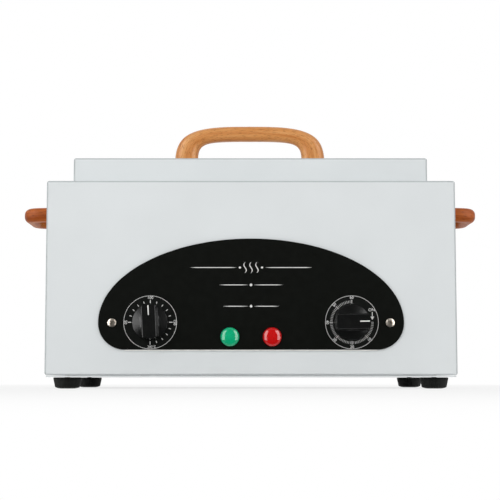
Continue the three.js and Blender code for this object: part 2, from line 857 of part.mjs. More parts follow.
function bowOutline({ length, reach, bar, leg }, drop) {
  const half = length / 2;
  const foot = half * (1 + legTaperShare);
  const start = reach * shoulderStartShare;
  const crown = half * crownHalfShare;
  const lift = start + (reach - start) * shoulderPullShare;
  const pull = crown + (half - crown) * crownPullShare;
  const inner = half - leg;
  const roof = reach - bar;
  const innerStart = roof * innerStartShare;
  const innerCrown = inner * innerCrownShare;
  const innerLift = innerStart + (roof - innerStart) * innerPullShare;
  const innerPull = innerCrown + (inner - innerCrown) * innerCrownPullShare;
  const bow = new THREE.Shape();
  bow.moveTo(-foot, -drop);
  bow.lineTo(-inner, -drop);
  bow.lineTo(-inner, innerStart);
  bow.bezierCurveTo(-inner, innerLift, -innerPull, roof, -innerCrown, roof);
  bow.lineTo(innerCrown, roof);
  bow.bezierCurveTo(innerPull, roof, inner, innerLift, inner, innerStart);
  bow.lineTo(inner, -drop);
  bow.lineTo(foot, -drop);
  bow.lineTo(half, start);
  bow.bezierCurveTo(half, lift, pull, reach, crown, reach);
  bow.lineTo(-crown, reach);
  bow.bezierCurveTo(-pull, reach, -half, lift, -half, start);
  bow.closePath();
  return bow;
}

function bowHandle(size) {
  const rounding = Math.min(size.rounding, size.bar / 2 - fitGap);
  const bow = new THREE.ExtrudeGeometry(bowOutline(size, 2 * rounding), {
    depth: size.thickness - 2 * rounding,
    bevelEnabled: true,
    bevelThickness: rounding,
    bevelSize: rounding,
    bevelOffset: -rounding,
    bevelSegments: 2,
    curveSegments: 5,
  });
  bow.rotateX(Math.PI / 2).translate(0, size.thickness / 2 - rounding, 0);
  const below = block(2 * size.length, 2 * size.thickness, 4 * rounding).translate(0, 0, -4 * rounding);
  const bores = [-1, 1].map((side) => rod(screwHole, handleScrewGrip + cutOverrun, 12)
    .translate(side * (size.length / 2 - size.leg / 2), 0, -cutOverrun));
  return cut(bow, below, ...bores);
}

// The screw enters the handle's leg from the sheet's inner side, its head below z = 0.
function handleScrew(sheet) {
  const length = sheet + 2 * fitGap + handleScrewGrip - 2 * fitGap;
  return plainScrew(length).rotateX(Math.PI).translate(0, 0, -sheet - 2 * fitGap);
}

// Hinges. The origin is on the pin's axis at the middle of the hinge.

function knuckle(from, to) {
  return rod(hingeRadius, to - from, 14).rotateY(Math.PI / 2).translate(from, 0, 0);
}

function pinBore() {
  const length = hingeLength + 2 * cutOverrun;
  return rod(hingePinRadius + fitGap, length, 12).rotateY(Math.PI / 2).translate(-length / 2, 0, 0);
}

const hingeThird = hingeLength / 6;

function hingeBodyLeaf() {
  const clear = hingeRadius + fitGap;
  const plate = block(hingeLength, bodyLeafReach - clear, hingeSheet);
  plate.translate(0, clear + (bodyLeafReach - clear) / 2, -hingeRadius);
  const ends = [-1, 1].flatMap((side) => {
    const width = hingeLength / 2 - hingeThird - fitGap / 2;
    const tongue = block(width, clear + cutOverrun / 2, hingeSheet);
    const middle = side * (hingeLength / 2 - width / 2);
    tongue.translate(middle, (clear + cutOverrun / 2) / 2, -hingeRadius);
    return [tongue, knuckle(middle - width / 2, middle + width / 2)];
  });
  return cut(joined(plate, ...ends), pinBore());
}

function hingeLidLeaf() {
  const clear = hingeRadius + fitGap;
  const plate = block(hingeLength, hingeSheet, lidLeafReach - clear);
  plate.translate(0, hingeSheet / 2 - hingeRadius, clear);
  const width = 2 * hingeThird - fitGap;
  const tongue = block(width, hingeSheet, clear + cutOverrun / 2);
  tongue.translate(0, hingeSheet / 2 - hingeRadius, 0);
  return cut(joined(plate, tongue, knuckle(-width / 2, width / 2)), pinBore());
}

function hingePin() {
  const half = hingeLength / 2 + fitGap;
  return turned([
    [0, -half - hingePinHeadHeight],
    [hingePinHead, -half - hingePinHeadHeight],
    [hingePinHead, -half],
    [hingePinRadius, -half],
    [hingePinRadius, half],
    [hingePinHead, half],
    [hingePinHead, half + hingePinHeadHeight],
    [0, half + hingePinHeadHeight],
  ], 12).rotateY(Math.PI / 2);
}

// Tank pieces. Their origin is on the housing's underside below the lid's middle.

function innerTank() {
  const rim = raised(roundedRectangle(tankFlangeWidth, tankFlangeDepth, tankRounding), tankSheet, 2);
  rim.translate(0, 0, tankTop - tankSheet);
  const wall = raised(
    roundedRectangle(tankOuterWidth, tankOuterDepth, tankRounding),
    tankDepth + tankSheet,
    2,
  ).translate(0, 0, tankUnderside);
  const hollow = raised(
    roundedRectangle(tankWidth, tankBreadth, tankRounding - tankSheet),
    tankDepth + cutOverrun,
    2,
  ).translate(0, 0, tankFloor);
  const studs = [-1, 1].map((side) => rod(studRadius, tankUnderside - studEnd + tankSheet / 2, 12)
    .translate(side * studOffset, 0, studEnd));
  const tap = capillaryCutter().translate(0, -lidMiddle, 0);
  return cut(joined(cut(joined(rim, wall), hollow), ...studs), tap);
}

function studCutters(top, depth, radius) {
  return [-1, 1].map((side) => rod(radius, depth + 2 * cutOverrun, 12)
    .translate(side * studOffset, 0, top - depth - cutOverrun));
}

function postCutters(top, depth, radius) {
  return [-1, 1].map((side) => rod(radius, depth + 2 * cutOverrun, 14)
    .translate(side * postOffset, 0, top - depth - cutOverrun));
}

function heaterPlate() {
  const width = tankOuterWidth - 2 * heaterInset;
  const breadth = tankOuterDepth - 2 * heaterInset;
  const plate = block(width, breadth, heaterThickness);
  plate.translate(0, 0, heaterTop - heaterThickness);
  const posts = [-1, 1].map((side) => rod(postRadius, postLength + heaterThickness / 2, 14)
    .translate(side * postOffset, 0, heaterTop - heaterThickness - postLength));
  return cut(joined(plate, ...posts), ...studCutters(heaterTop, heaterThickness, studRadius + fitGap));
}

function heaterClampPlate() {
  const width = tankOuterWidth - 2 * heaterInset + heaterThickness;
  const breadth = tankOuterDepth - 2 * heaterInset + heaterThickness;
  const plate = block(width, breadth, clampSheet).translate(0, 0, clampUnderside);
  return cut(
    plate,
    ...studCutters(clampTop, clampSheet, studRadius + fitGap),
    ...postCutters(clampTop, clampSheet, postRadius + fitGap),
  );
}

function heaterNut() {
  const nut = new THREE.Shape();
  for (let i = 0; i < 6; i += 1) {
    const angle = (i * Math.PI) / 3;
    const corner = [nutRadius * Math.cos(angle), nutRadius * Math.sin(angle)];
    if (i === 0) {
      nut.moveTo(...corner);
    } else {
      nut.lineTo(...corner);
    }
  }
  nut.closePath();
  const bore = roundHole(0, 0, studRadius + fitGap, 12);
  return cut(raised(nut, nutHeight - fitGap), bore).translate(0, 0, studEnd);
}

// The snap disc thermostat sits against the clamp plate with its pins down.
function thermalCutout() {
  const base = clampUnderside - fitGap - cutoutHeight;
  const can = turned([
    [0, base],
    [cutoutRadius * 0.85, base],
    [cutoutRadius * 0.85, base + cutoutHeight * 0.7],
    [cutoutRadius, base + cutoutHeight * 0.7],
    [cutoutRadius, base + cutoutHeight],
    [0, base + cutoutHeight],
  ], 24);
  const pins = [-1, 1].map((side) => block(driveWidth, 2 * screwRadius, cutoutPinLength + cutOverrun)
    .translate(side * cutoutPinOffset, 0, base - cutoutPinLength));
  return joined(can, ...pins);
}

function tankInsulation() {
  const height = bodyHeight - bodySheet - fitGap - jacketUnderside;
  const outer = block(jacketWidth, jacketDepth, height).translate(0, 0, jacketUnderside);
  const hollow = raised(
    roundedRectangle(
      tankOuterWidth + 2 * jacketGap,
      tankOuterDepth + 2 * jacketGap,
      tankRounding + jacketGap,
    ),
    height,
    2,
  ).translate(0, 0, jacketHollow);
  const tap = capillaryCutter().translate(0, -lidMiddle, 0);
  const well = rod(cutoutRadius + fitGap, jacketFloor + 2 * cutOverrun, 20);
  well.translate(0, 0, jacketUnderside - cutOverrun);
  return cut(
    outer,
    hollow,
    tap,
    well,
    ...postCutters(jacketHollow, jacketFloor, postRadius + fitGap),
  );
}

// A bent sheet that carries the insulation: a table with outward feet on the shell's flanges.
function insulationCradle() {
  const foot = flangeTop + fitGap;
  const half = jacketWidth / 2;
  const reach = half + cradleFoot;
  const profile = new THREE.Shape();
  profile.moveTo(-reach, foot);
  profile.lineTo(cradleSheet - half, foot);
  profile.lineTo(cradleSheet - half, cradleTop - cradleSheet);
  profile.lineTo(half - cradleSheet, cradleTop - cradleSheet);
  profile.lineTo(half - cradleSheet, foot);
  profile.lineTo(reach, foot);
  profile.lineTo(reach, foot + cradleSheet);
  profile.lineTo(half, foot + cradleSheet);
  profile.lineTo(half, cradleTop);
  profile.lineTo(-half, cradleTop);
  profile.lineTo(-half, foot + cradleSheet);
  profile.lineTo(-reach, foot + cradleSheet);
  profile.closePath();
  const depth = jacketDepth - 2 * cradleInset;
  const sheet = standing(profile, depth).translate(0, -depth / 2, 0);
  const well = rod(cutoutRadius + fitGap, cradleSheet + 2 * cutOverrun, 20);
  well.translate(0, 0, cradleTop - cradleSheet - cutOverrun);
  return cut(sheet, well, ...postCutters(cradleTop, cradleSheet, postRadius + postHoleGap));
}

function trayGrip(side, length, rim) {
  const x = side * (length / 2 - traySheet / 2);
  const half = gripWidth / 2;
  const route = new THREE.CurvePath();
  const at = (y, z) => new THREE.Vector3(x, y, z);
  const base = rim - gripRise;
  const bend = gripRise / 2;
  const top = rim + gripRise;
  route.add(new THREE.LineCurve3(at(-half, base), at(-half, top - bend)));
  route.add(new THREE.QuadraticBezierCurve3(at(-half, top - bend), at(-half, top), at(bend - half, top)));
  route.add(new THREE.LineCurve3(at(bend - half, top), at(half - bend, top)));
  route.add(new THREE.QuadraticBezierCurve3(at(half - bend, top), at(half, top), at(half, top - bend)));
  route.add(new THREE.LineCurve3(at(half, top - bend), at(half, base)));
  const section = new THREE.Shape();
  section.absarc(0, 0, gripWire, 0, Math.PI * 2);
  return new THREE.ExtrudeGeometry(section, { steps: 24, curveSegments: 3, extrudePath: route });
}

function instrumentTray() {
  const width = tankWidth - 2 * trayEndGap;
  const breadth = tankBreadth - 2 * traySideGap;
  const floor = tankFloor + fitGap + trayFoot;
  const outer = raised(roundedRectangle(width, breadth, trayRounding), trayHeight, 2);
  outer.translate(0, 0, floor);
  const hollow = raised(
    roundedRectangle(width - 2 * traySheet, breadth - 2 * traySheet, trayRounding - traySheet),
    trayHeight,
    2,
  ).translate(0, 0, floor + traySheet);
  const slots = [];
  const slotStep = (width - 2 * traySlotEndMargin) / traySlotCount;
  const rowStep = (breadth - 2 * traySlotSideMargin) / traySlotRows;
  for (let row = 0; row < traySlotRows; row += 1) {
    for (let i = 0; i < traySlotCount; i += 1) {
      const x = (i - (traySlotCount - 1) / 2) * slotStep;
      const y = (row - (traySlotRows - 1) / 2) * rowStep;
      const slot = block(traySlotWidth, rowStep - traySlotBar, traySheet + 2 * cutOverrun);
      slots.push(slot.translate(x, y, floor - cutOverrun));
    }
  }
  const feet = [];
  for (const sideX of [-1, 1]) {
    for (const sideY of [-1, 1]) {
      const dimple = rod(trayFootRadius, trayFoot + traySheet / 2, 12);
      const x = sideX * (width / 2 - trayRounding);
      const y = sideY * (breadth / 2 - trayRounding);
      feet.push(dimple.translate(x, y, floor - trayFoot));
    }
  }
  const basket = cut(cut(outer, hollow), ...slots);
  const rim = floor + trayHeight;
  return joined(basket, ...feet, trayGrip(-1, width, rim), trayGrip(1, width, rim));
}

// Power inlet. Its origin is the middle of its flange's inner face, and it faces the back.
function powerInlet() {
  const flange = standing(roundedRectangle(inletFlangeWidth, inletFlangeTall, bodyBend), inletFlange, 2);
  const box = block(inletWidth, inletDepth + cutOverrun / 2, inletTall);
  box.translate(0, cutOverrun / 2 - (inletDepth + cutOverrun / 2) / 2, -inletTall / 2);
  const mouthWidth = inletWidth - 2 * inletWall;
  const mouthTall = inletTall - 2 * inletWall;
  const mouthDepth = inletSocketDepth + inletFlange;
  const mouth = block(mouthWidth, mouthDepth + cutOverrun, mouthTall);
  mouth.translate(0, inletFlange + cutOverrun - (mouthDepth + cutOverrun) / 2, -mouthTall / 2);
  const pins = [-1, 0, 1].map((way) => {
    const drop = way === 0 ? inletPinStep : -inletPinStep / 2;
    const length = inletPinLength + cutOverrun;
    return block(inletPinWidth, length, inletPinTall)
      .translate(way * inletPinSpacing, length / 2 - cutOverrun - inletSocketDepth, drop - inletPinTall / 2);
  });
  const tabs = [-1, 0, 1].map((way) => block(driveWidth, inletTabLength + cutOverrun, inletPinTall)
    .translate(
      way * inletPinSpacing,
      -inletDepth - inletTabLength / 2 + cutOverrun / 2,
      -inletPinTall / 2,
    ));
  return joined(cut(joined(flange, box), mouth), ...pins, ...tabs);
}

function terminalBlock() {
  const base = block(blockWidth, blockDepth, blockHeight);
  const pitch = blockWidth / blockWays;
  const tools = [];
  for (let i = 0; i < blockWays; i += 1) {
    const x = (i - (blockWays - 1) / 2) * pitch;
    tools.push(rod(blockWayRadius, blockHeight / 2, 12).translate(x, 0, blockHeight / 2 + cutOverrun));
  }
  for (let i = 1; i < blockWays; i += 1) {
    const groove = block(driveWidth, blockDepth + cutOverrun, blockHeight / 2);
    tools.push(groove.translate((i - blockWays / 2) * pitch, 0, blockHeight * 0.7));
  }
  return cut(base, ...tools);
}

// The loom's ends, each a fit gap clear of its terminal, and the way that the wire leaves it.
const lampTail = bodySheet + holderDepth + 2 * fitGap;
const postEnd = heaterTop - heaterThickness - postLength - fitGap;
const cutoutEnd = clampUnderside - cutoutHeight - cutoutPinLength - 2 * fitGap;
const loomEnds = {
  block: {
    at: [-blockOffset, lidMiddle + blockSetback - blockDepth / 2 - fitGap, blockHeight / 2],
    way: [0, -1, 0],
  },
  inlet: { at: [-inletOffset, bodyDepth - inletDepth - inletTabLength, inletHeight], way: [0, -1, 0] },
  thermostat: {
    at: [
      thermostatWidth / 4 - dialOffset,
      bodySheet + fitGap + thermostatDepth / 2,
      dialHeight - thermostatHeight / 2 - screwTip - fitGap,
    ],
    way: [0, 0, -1],
  },
  timer: {
    at: [dialOffset, bodySheet + fitGap + timerDepth / 2, dialHeight - timerRadius - fitGap],
    way: [0, 0, -1],
  },
  greenLamp: { at: [-lampOffset, lampTail, lampHeight], way: [0, 1, 0] },
  redLamp: { at: [lampOffset, lampTail, lampHeight], way: [0, 1, 0] },
  leftPost: { at: [-postOffset, lidMiddle, postEnd], way: [0, 0, -1] },
  rightPost: { at: [postOffset, lidMiddle, postEnd], way: [0, 0, -1] },
  cutout: { at: [cutoutPinOffset, lidMiddle, cutoutEnd], way: [0, 0, -1] },
};

// Points chosen by hand, as shares of the housing's width and depth and of the cradle's height.
const loomShares = {
  bend: [-0.22, 0.578, 0.12],
  trunk: [-0.157, 0.511, 0.138],
  fork: [-0.157, 0.333, 0.155],
  front: [-0.157, 0.167, 0.172],
  side: [-0.311, 0.628, 0.138],
  ramp: [-0.333, 0.7, 0.189],
  climb: [-0.352, 0.778, 0.43],
  leftTurn: [-0.195, 0.111, 0.138],
  leftRun: [-0.063, 0.144, 0.207],
  rightRun: [0.031, 0.144, 0.207],
  farRun: [0.126, 0.156, 0.207],
  rightTurn: [0.208, 0.122, 0.155],
  greenRise: [-0.053, 0.172, 0.344],
  redRise: [0.05, 0.172, 0.344],
  leftRise: [-0.119, 0.5, 0.241],
  middle: [0, 0.4, 0.189],
  rightRise: [0.094, 0.5, 0.241],
  cutoutRise: [0.009, 0.511, 0.344],
};

const loomRuns = [
  ["block", "bend", "trunk", "fork", "front"],
  ["block", "side", "ramp", "climb", "inlet"],
  ["front", "leftTurn", "thermostat"],
  ["front", "leftRun", "rightRun", "farRun", "rightTurn", "timer"],
  ["leftRun", "greenRise", "greenLamp"],
  ["rightRun", "redRise", "redLamp"],
  ["fork", "leftRise", "leftPost"],
  ["fork", "middle", "rightRise", "rightPost"],
  ["middle", "cutoutRise", "cutout"],
];

function loomPoints(stops) {
  return stops.flatMap((stop, i) => {
    if (stop in loomShares) {
      const [across, back, up] = loomShares[stop];
      return [new THREE.Vector3(across * bodyWidth, back * bodyDepth, up * cradleTop)];
    }
    const end = new THREE.Vector3(...loomEnds[stop].at);
    const approach = new THREE.Vector3(...loomEnds[stop].way).multiplyScalar(wireApproach).add(end);
    return i === 0 ? [end, approach] : [approach, end];
  });
}

function wiringLoom() {
  const section = new THREE.Shape();
  section.absarc(0, 0, wireRadius, 0, Math.PI * 2);
  const runs = loomRuns.map((stops) => {
    const points = loomPoints(stops);
    const route = new THREE.CatmullRomCurve3(points);
    const steps = 3 * (points.length - 1);
    return new THREE.ExtrudeGeometry(section, { steps, curveSegments: 3, extrudePath: route });
  });
  return joined(...runs);
}

// Assembly

const sterilizer = new THREE.Group();
const housing = new THREE.Group();
housing.position.set(0, frontPlace, footHeight);
sterilizer.add(housing);

const lid = new THREE.Group();
lid.position.set(0, lidFrontMargin, lidBase);
housing.add(lid);

const tankGroup = new THREE.Group();
tankGroup.position.set(0, lidMiddle, 0);
housing.add(tankGroup);

function place(parent, name, geometry, material, position = [0, 0, 0], rotation = [0, 0, 0]) {
  const mesh = new THREE.Mesh(geometry, material);
  mesh.name = name;
  mesh.position.set(...position);
  mesh.rotation.set(...rotation);
  parent.add(mesh);
  return mesh;
}

place(housing, "housing_shell", housingShell(), paintedSteel);
place(housing, "back_panel", backPanel(), paintedSteel, [0, shellDepth + fitGap, 0]);
place(housing, "bottom_plate", bottomPlate(), paintedSteel);

for (const spot of footPlaces) {
  place(housing, `foot_${spot.name}`, foot(), rubber, [spot.x, spot.y, 0]);
  place(housing, `foot_screw_${spot.name}`, footScrew(), zincSteel, [spot.x, spot.y, 0]);
}

for (const spot of backScrewPlaces) {
  place(housing, `back_screw_${spot.name}`, backScrew(), zincSteel, [spot.x, bodyDepth, spot.z]);
}

place(housing, "control_panel", controlPanel(), panelBlack, [0, panelFront, panelHeight]);

for (const [sideName, side] of [["left", -1], ["right", 1]]) {
  const screwPlace = [side * panelScrewOffset, panelFront - fitGap, panelHeight];
  place(housing, `panel_screw_${sideName}`, panelScrew(), zincSteel, screwPlace);
}

const thermostatPlace = [-dialOffset, 0, dialHeight];
const timerPlace = [dialOffset, 0, dialHeight];
place(housing, "thermostat_body", thermostatBody(), greyPlastic, thermostatPlace);
place(housing, "thermostat_shaft", controlShaft(), brass, thermostatPlace);
place(housing, "thermostat_knob", knob(), blackPlastic, [-dialOffset, knobBack, dialHeight], [
  0,
  thermostatRestTurn,
  0,
]);
place(housing, "thermostat_capillary", capillary(), copper);
place(housing, "timer_body", timerBody(), greyPlastic, timerPlace);
place(housing, "timer_shaft", controlShaft(), brass, timerPlace);
place(housing, "timer_knob", knob(), blackPlastic, [dialOffset, knobBack, dialHeight], [
  0,
  timerRestTurn,
  0,
]);
place(housing, "timer_bell", timerBell(), zincSteel, [
  dialOffset,
  bodySheet + fitGap + timerDepth + fitGap,
  dialHeight,
]);

for (const [colourName, side, material] of [["green", -1, greenLens], ["red", 1, redLens]]) {
  const x = side * lampOffset;
  place(housing, `lamp_lens_${colourName}`, lampLens(), material, [x, panelFront - fitGap, lampHeight]);
  place(housing, `lamp_holder_${colourName}`, lampHolder(), greyPlastic, [x, bodySheet + fitGap, lampHeight]);
}

for (const [sideName, side] of [["left", -1], ["right", 1]]) {
  const outwardTurn = [Math.PI / 2, side * Math.PI / 2, 0];
  const wall = side * bodyWidth / 2;
  place(housing, `side_handle_${sideName}`, bowHandle(sideBow), darkWood, [
    wall + side * fitGap,
    lidMiddle,
    sideHandleHeight,
  ], outwardTurn);
  for (const [endName, end] of [["front", -1], ["rear", 1]]) {
    place(housing, `side_handle_screw_${sideName}_${endName}`, handleScrew(bodySheet), zincSteel, [
      wall,
      lidMiddle + end * sideScrewOffset,
      sideHandleHeight,
    ], outwardTurn);
  }
}

place(lid, "lid_shell", lidShell(), paintedSteel);
place(lid, "lid_insulation", lidInsulation(), glassWool);
place(lid, "lid_liner", lidLiner(), stainless);
place(lid, "lid_handle", bowHandle(lidBow), paleWood, [0, lidDepth / 2, lidHeight + fitGap]);
for (const [sideName, side] of [["left", -1], ["right", 1]]) {
  place(lid, `lid_handle_screw_${sideName}`, handleScrew(lidSheet), zincSteel, [
    side * lidScrewOffset,
    lidDepth / 2,
    lidHeight,
  ]);
  const axis = [side * hingeOffset, hingeAxisDepth, hingeAxisHeight];
  place(housing, `hinge_body_leaf_${sideName}`, hingeBodyLeaf(), zincSteel, axis);
  place(housing, `hinge_pin_${sideName}`, hingePin(), zincSteel, axis);
  place(lid, `hinge_lid_leaf_${sideName}`, hingeLidLeaf(), zincSteel, [
    side * hingeOffset,
    hingeAxisDepth - lidFrontMargin,
    hingeAxisHeight - lidBase,
  ]);
}

place(tankGroup, "inner_tank", innerTank(), stainless);
place(tankGroup, "tank_insulation", tankInsulation(), glassWool);
place(tankGroup, "insulation_cradle", insulationCradle(), zincSteel);
place(tankGroup, "heater_plate", heaterPlate(), mica);
place(tankGroup, "heater_clamp_plate", heaterClampPlate(), zincSteel);
for (const [sideName, side] of [["left", -1], ["right", 1]]) {
  place(tankGroup, `heater_nut_${sideName}`, heaterNut(), zincSteel, [side * studOffset, 0, 0]);
}
place(tankGroup, "thermal_cutout", thermalCutout(), blackPlastic);
place(tankGroup, "instrument_tray", instrumentTray(), stainless);

place(housing, "power_inlet", powerInlet(), blackPlastic, [-inletOffset, bodyDepth + fitGap, inletHeight]);
place(housing, "terminal_block", terminalBlock(), greyPlastic, [
  -blockOffset,
  lidMiddle + blockSetback,
  bodySheet + fitGap,
]);
place(housing, "wiring_loom", wiringLoom(), wireSleeve);

export default sterilizer;
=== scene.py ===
import bmesh
import bpy
import math
from mathutils import Matrix, Vector


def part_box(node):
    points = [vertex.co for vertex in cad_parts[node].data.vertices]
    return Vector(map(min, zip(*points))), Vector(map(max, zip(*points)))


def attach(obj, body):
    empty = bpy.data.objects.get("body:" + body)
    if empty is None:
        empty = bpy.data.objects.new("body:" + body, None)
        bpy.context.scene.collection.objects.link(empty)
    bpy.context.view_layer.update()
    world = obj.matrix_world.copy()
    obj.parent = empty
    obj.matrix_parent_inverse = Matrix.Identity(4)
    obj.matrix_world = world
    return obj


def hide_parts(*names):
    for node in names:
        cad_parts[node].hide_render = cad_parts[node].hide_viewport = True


# Dry heat sterilizer. Sizes are in millimetres in the CAD's own frame, +Z up and the front
# towards -Y. Only the stage, the lights and the camera are in metres.
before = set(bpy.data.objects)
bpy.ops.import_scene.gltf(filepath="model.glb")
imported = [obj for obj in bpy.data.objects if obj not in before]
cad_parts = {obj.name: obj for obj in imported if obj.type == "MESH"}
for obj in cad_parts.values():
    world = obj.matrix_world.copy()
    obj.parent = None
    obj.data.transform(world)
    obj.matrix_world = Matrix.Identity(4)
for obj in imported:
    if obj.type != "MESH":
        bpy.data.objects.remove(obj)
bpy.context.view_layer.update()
scene = bpy.context.scene
toMetres = Matrix.Scale(0.001, 4)


def linear(hexColour):
    parts = [int(hexColour[i:i + 2], 16) / 255 for i in (1, 3, 5)]
    return [p / 12.92 if p <= 0.04045 else ((p + 0.055) / 1.055) ** 2.4 for p in parts] + [1.0]


# One node with its settings; an input is a value, or the socket that feeds it.
def addNode(tree, kind, settings=None, inputs=None):
    node = tree.nodes.new(kind)
    for key, value in (settings or {}).items():
        setattr(node, key, value)
    for key, value in (inputs or {}).items():
        if isinstance(value, bpy.types.NodeSocket):
            tree.links.new(value, node.inputs[key])
        else:
            node.inputs[key].default_value = value
    return node


def box(node):
    low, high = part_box(node)
    return low * 1000, high * 1000


print("materials")


# A Principled surface, with the tree for whatever the finish adds and its Object coordinates.
def newSurface(name, **values):
    material = bpy.data.materials.new(name)
    material.use_nodes = True
    tree = material.node_tree
    for key, value in values.items():
        tree.nodes["Principled BSDF"].inputs[key.replace("_", " ")].default_value = value
    return material, tree, addNode(tree, "ShaderNodeTexCoord").outputs["Object"]


# Joins the colour, the bump and, where it varies, the roughness to the surface.
def dressed(material, colour, bump, rough=None):
    inputs = material.node_tree.nodes["Principled BSDF"].inputs
    for socket, label in ((colour, "Base Color"), (rough, "Roughness"), (bump, "Normal")):
        if socket:
            material.node_tree.links.new(socket, inputs[label])
    return material


# Noise with its scale in cells per metre.
def noiseOn(tree, place, scale, detail, **more):
    inputs = dict(more, Vector=place, Scale=scale, Detail=detail)
    return addNode(tree, "ShaderNodeTexNoise", {}, inputs).outputs["Fac"]


def cellsOn(tree, place, scale):
    return addNode(tree, "ShaderNodeTexVoronoi", {}, {
        "Vector": place, "Scale": scale}).outputs["Distance"]


def stretched(tree, place, scale):
    return addNode(tree, "ShaderNodeMapping", {}, {"Vector": place, "Scale": scale}).outputs["Vector"]


# Colours over a value, from (position, colour) pairs.
def tintOver(tree, value, *stops):
    node = addNode(tree, "ShaderNodeValToRGB", {}, {"Fac": value})
    elements = node.color_ramp.elements
    for element, (position, colour) in zip(elements, (stops[0], stops[-1])):
        element.position, element.color = position, linear(colour)
    for position, colour in stops[1:-1]:
        elements.new(position).color = linear(colour)
    return node.outputs["Color"]


# Two colours in clouds about size millimetres across. Gives the clouds' value and their colour.
def mottle(tree, place, dark, light, size, detail=2.0):
    cloud = noiseOn(tree, place, 1000 / size, detail, Roughness=0.55)
    return cloud, tintOver(tree, cloud, (0.35, dark), (0.65, light))


def mixed(tree, share, first, second):
    return addNode(tree, "ShaderNodeMix", {"data_type": "RGBA"}, {
        0: share, 6: first, 7: second}).outputs[2]


# A value carried from one span to another, straight or with soft ends.
def spanned(tree, value, source, target, kind="LINEAR"):
    return addNode(tree, "ShaderNodeMapRange", {"interpolation_type": kind}, {
        "Value": value, "From Min": source[0], "From Max": source[1],
        "To Min": target[0], "To Max": target[1]}).outputs["Result"]


# A bump of so many millimetres.
def reliefFrom(tree, height, depth, strength, before=None):
    inputs = {"Height": height, "Distance": depth / 1000, "Strength": strength}
    if before:
        inputs["Normal"] = before
    return addNode(tree, "ShaderNodeBump", {}, inputs).outputs["Normal"]


# Polyester powder coat on steel: soft satin with a faint orange peel about 1.4 mm across,
# and painted shade: much darker where the sheet is folded, standing in for the bends' shade.
def powderCoat():
    material, tree, place = newSurface("powderCoatedSteel", Roughness=0.55, Specular_IOR_Level=0.12)
    tint = mottle(tree, place, "#DCE0E1", "#DFE3E4", 60)[1]
    # Painted shade: the fold share mixes the coat towards a dark grey on every bend.
    fold = addNode(tree, "ShaderNodeAttribute", {"attribute_name": "foldShadeShare"}).outputs["Fac"]
    peel = reliefFrom(tree, noiseOn(tree, place, 700.0, 1.0), 0.02, 0.5)
    grit = reliefFrom(tree, noiseOn(tree, place, 2600.0, 0.0), 0.004, 0.4, peel)
    return dressed(material, mixed(tree, fold, tint, linear("#A9B0B1")), grit)


# Bright zinc plate: cool grey, cloudy in patches where the bath wetted the steel unevenly.
def zincPlate():
    material, tree, place = newSurface("zincPlatedSteel", Metallic=1.0)
    cloud, tint = mottle(tree, place, "#9FA3A4", "#C6C8C6", 9, 4.0)
    fine = reliefFrom(tree, noiseOn(tree, place, 2400.0, 2.0), 0.006, 0.5)
    return dressed(material, tint, fine, spanned(tree, cloud, (0, 1), (0.26, 0.46)))


# Plated, turned or drawn metal: one cloud in its colour and, very faintly, in its relief.
def plainMetal(name, dark, light, roughness, size, strength):
    material, tree, place = newSurface(name, Metallic=1.0, Roughness=roughness)
    cloud, tint = mottle(tree, place, dark, light, size, 3.0)
    return dressed(material, tint, reliefFrom(tree, cloud, 0.01, strength))


# Brushed stainless sheet: lines along X, less than a millimetre apart so that they show.
def brushedStainless():
    material, tree, place = newSurface("brushedStainless", Metallic=1.0)
    lines = noiseOn(tree, stretched(tree, place, (18, 1300, 1300)), 1.0, 3.0)
    tint = tintOver(tree, lines, (0, "#A6A8A8"), (1, "#D4D5D4"))
    relief = reliefFrom(tree, lines, 0.012, 0.6)
    return dressed(material, tint, relief, spanned(tree, lines, (0, 1), (0.22, 0.4)))


# A moulded plastic or rubber: near-even colour with the spark-eroded grain of its mould.
def moulded(name, dark, light, roughness, grain, depth, specular=0.5):
    material, tree, place = newSurface(name, Roughness=roughness, Specular_IOR_Level=specular)
    tint = mottle(tree, place, dark, light, grain * 12)[1]
    return dressed(material, tint, reliefFrom(tree, noiseOn(tree, place, 1000 / grain, 2.0), depth, 0.7))


# Varnished beech: bands and pores run along the bow, read from the piece's own grain attribute.
def varnishedBeech(name, deep, middle, pale, pore, gloss, coat):
    material, tree = newSurface(name, Roughness=0.42, Specular_IOR_Level=gloss, Coat_Weight=coat,
                                Coat_Roughness=0.12)[:2]
    grain = addNode(tree, "ShaderNodeAttribute", {"attribute_name": "grainPlace"}).outputs["Vector"]
    bands = noiseOn(tree, stretched(tree, grain, (16, 210, 150)), 1.0, 5.0, Roughness=0.62,
                    Distortion=0.35)
    tint = tintOver(tree, bands, (0.3, deep), (0.5, middle), (0.72, pale))
    flecks = noiseOn(tree, stretched(tree, grain, (240, 2600, 2600)), 1.0, 1.0)
    pores = spanned(tree, flecks, (0.58, 0.72), (0, 1))
    relief = reliefFrom(tree, bands, 0.05, 0.35)
    return dressed(material, mixed(tree, pores, tint, linear(pore)), relief)


# Clear polycarbonate over a diamond-cut inner face: deep colour, sharp gloss, cells of 0.9 mm.
def lampPlastic(name, deep, bright):
    material, tree, place = newSurface(
        name, Roughness=0.3, Specular_IOR_Level=0.05, Coat_Weight=1.0, Coat_Roughness=0.04,
        Subsurface_Weight=0.2, Subsurface_Scale=0.003)
    cells = cellsOn(tree, place, 1100.0)
    tint = tintOver(tree, cells, (0, bright), (0.75, deep))
    return dressed(material, tint, reliefFrom(tree, cells, 0.1, 0.5))


# Glass wool felt: pale yellow fibres in every direction over darker hollows.
def glassFelt():
    material, tree, place = newSurface("glassWoolFelt", Roughness=0.95, Specular_IOR_Level=0.2)
    fibres = noiseOn(tree, place, 420.0, 6.0, Roughness=0.8, Distortion=2.2)
    tint = tintOver(tree, fibres, (0.3, "#A3985F"), (0.66, "#E6DFB8"))
    return dressed(material, tint, reliefFrom(tree, fibres, 0.8, 0.8))


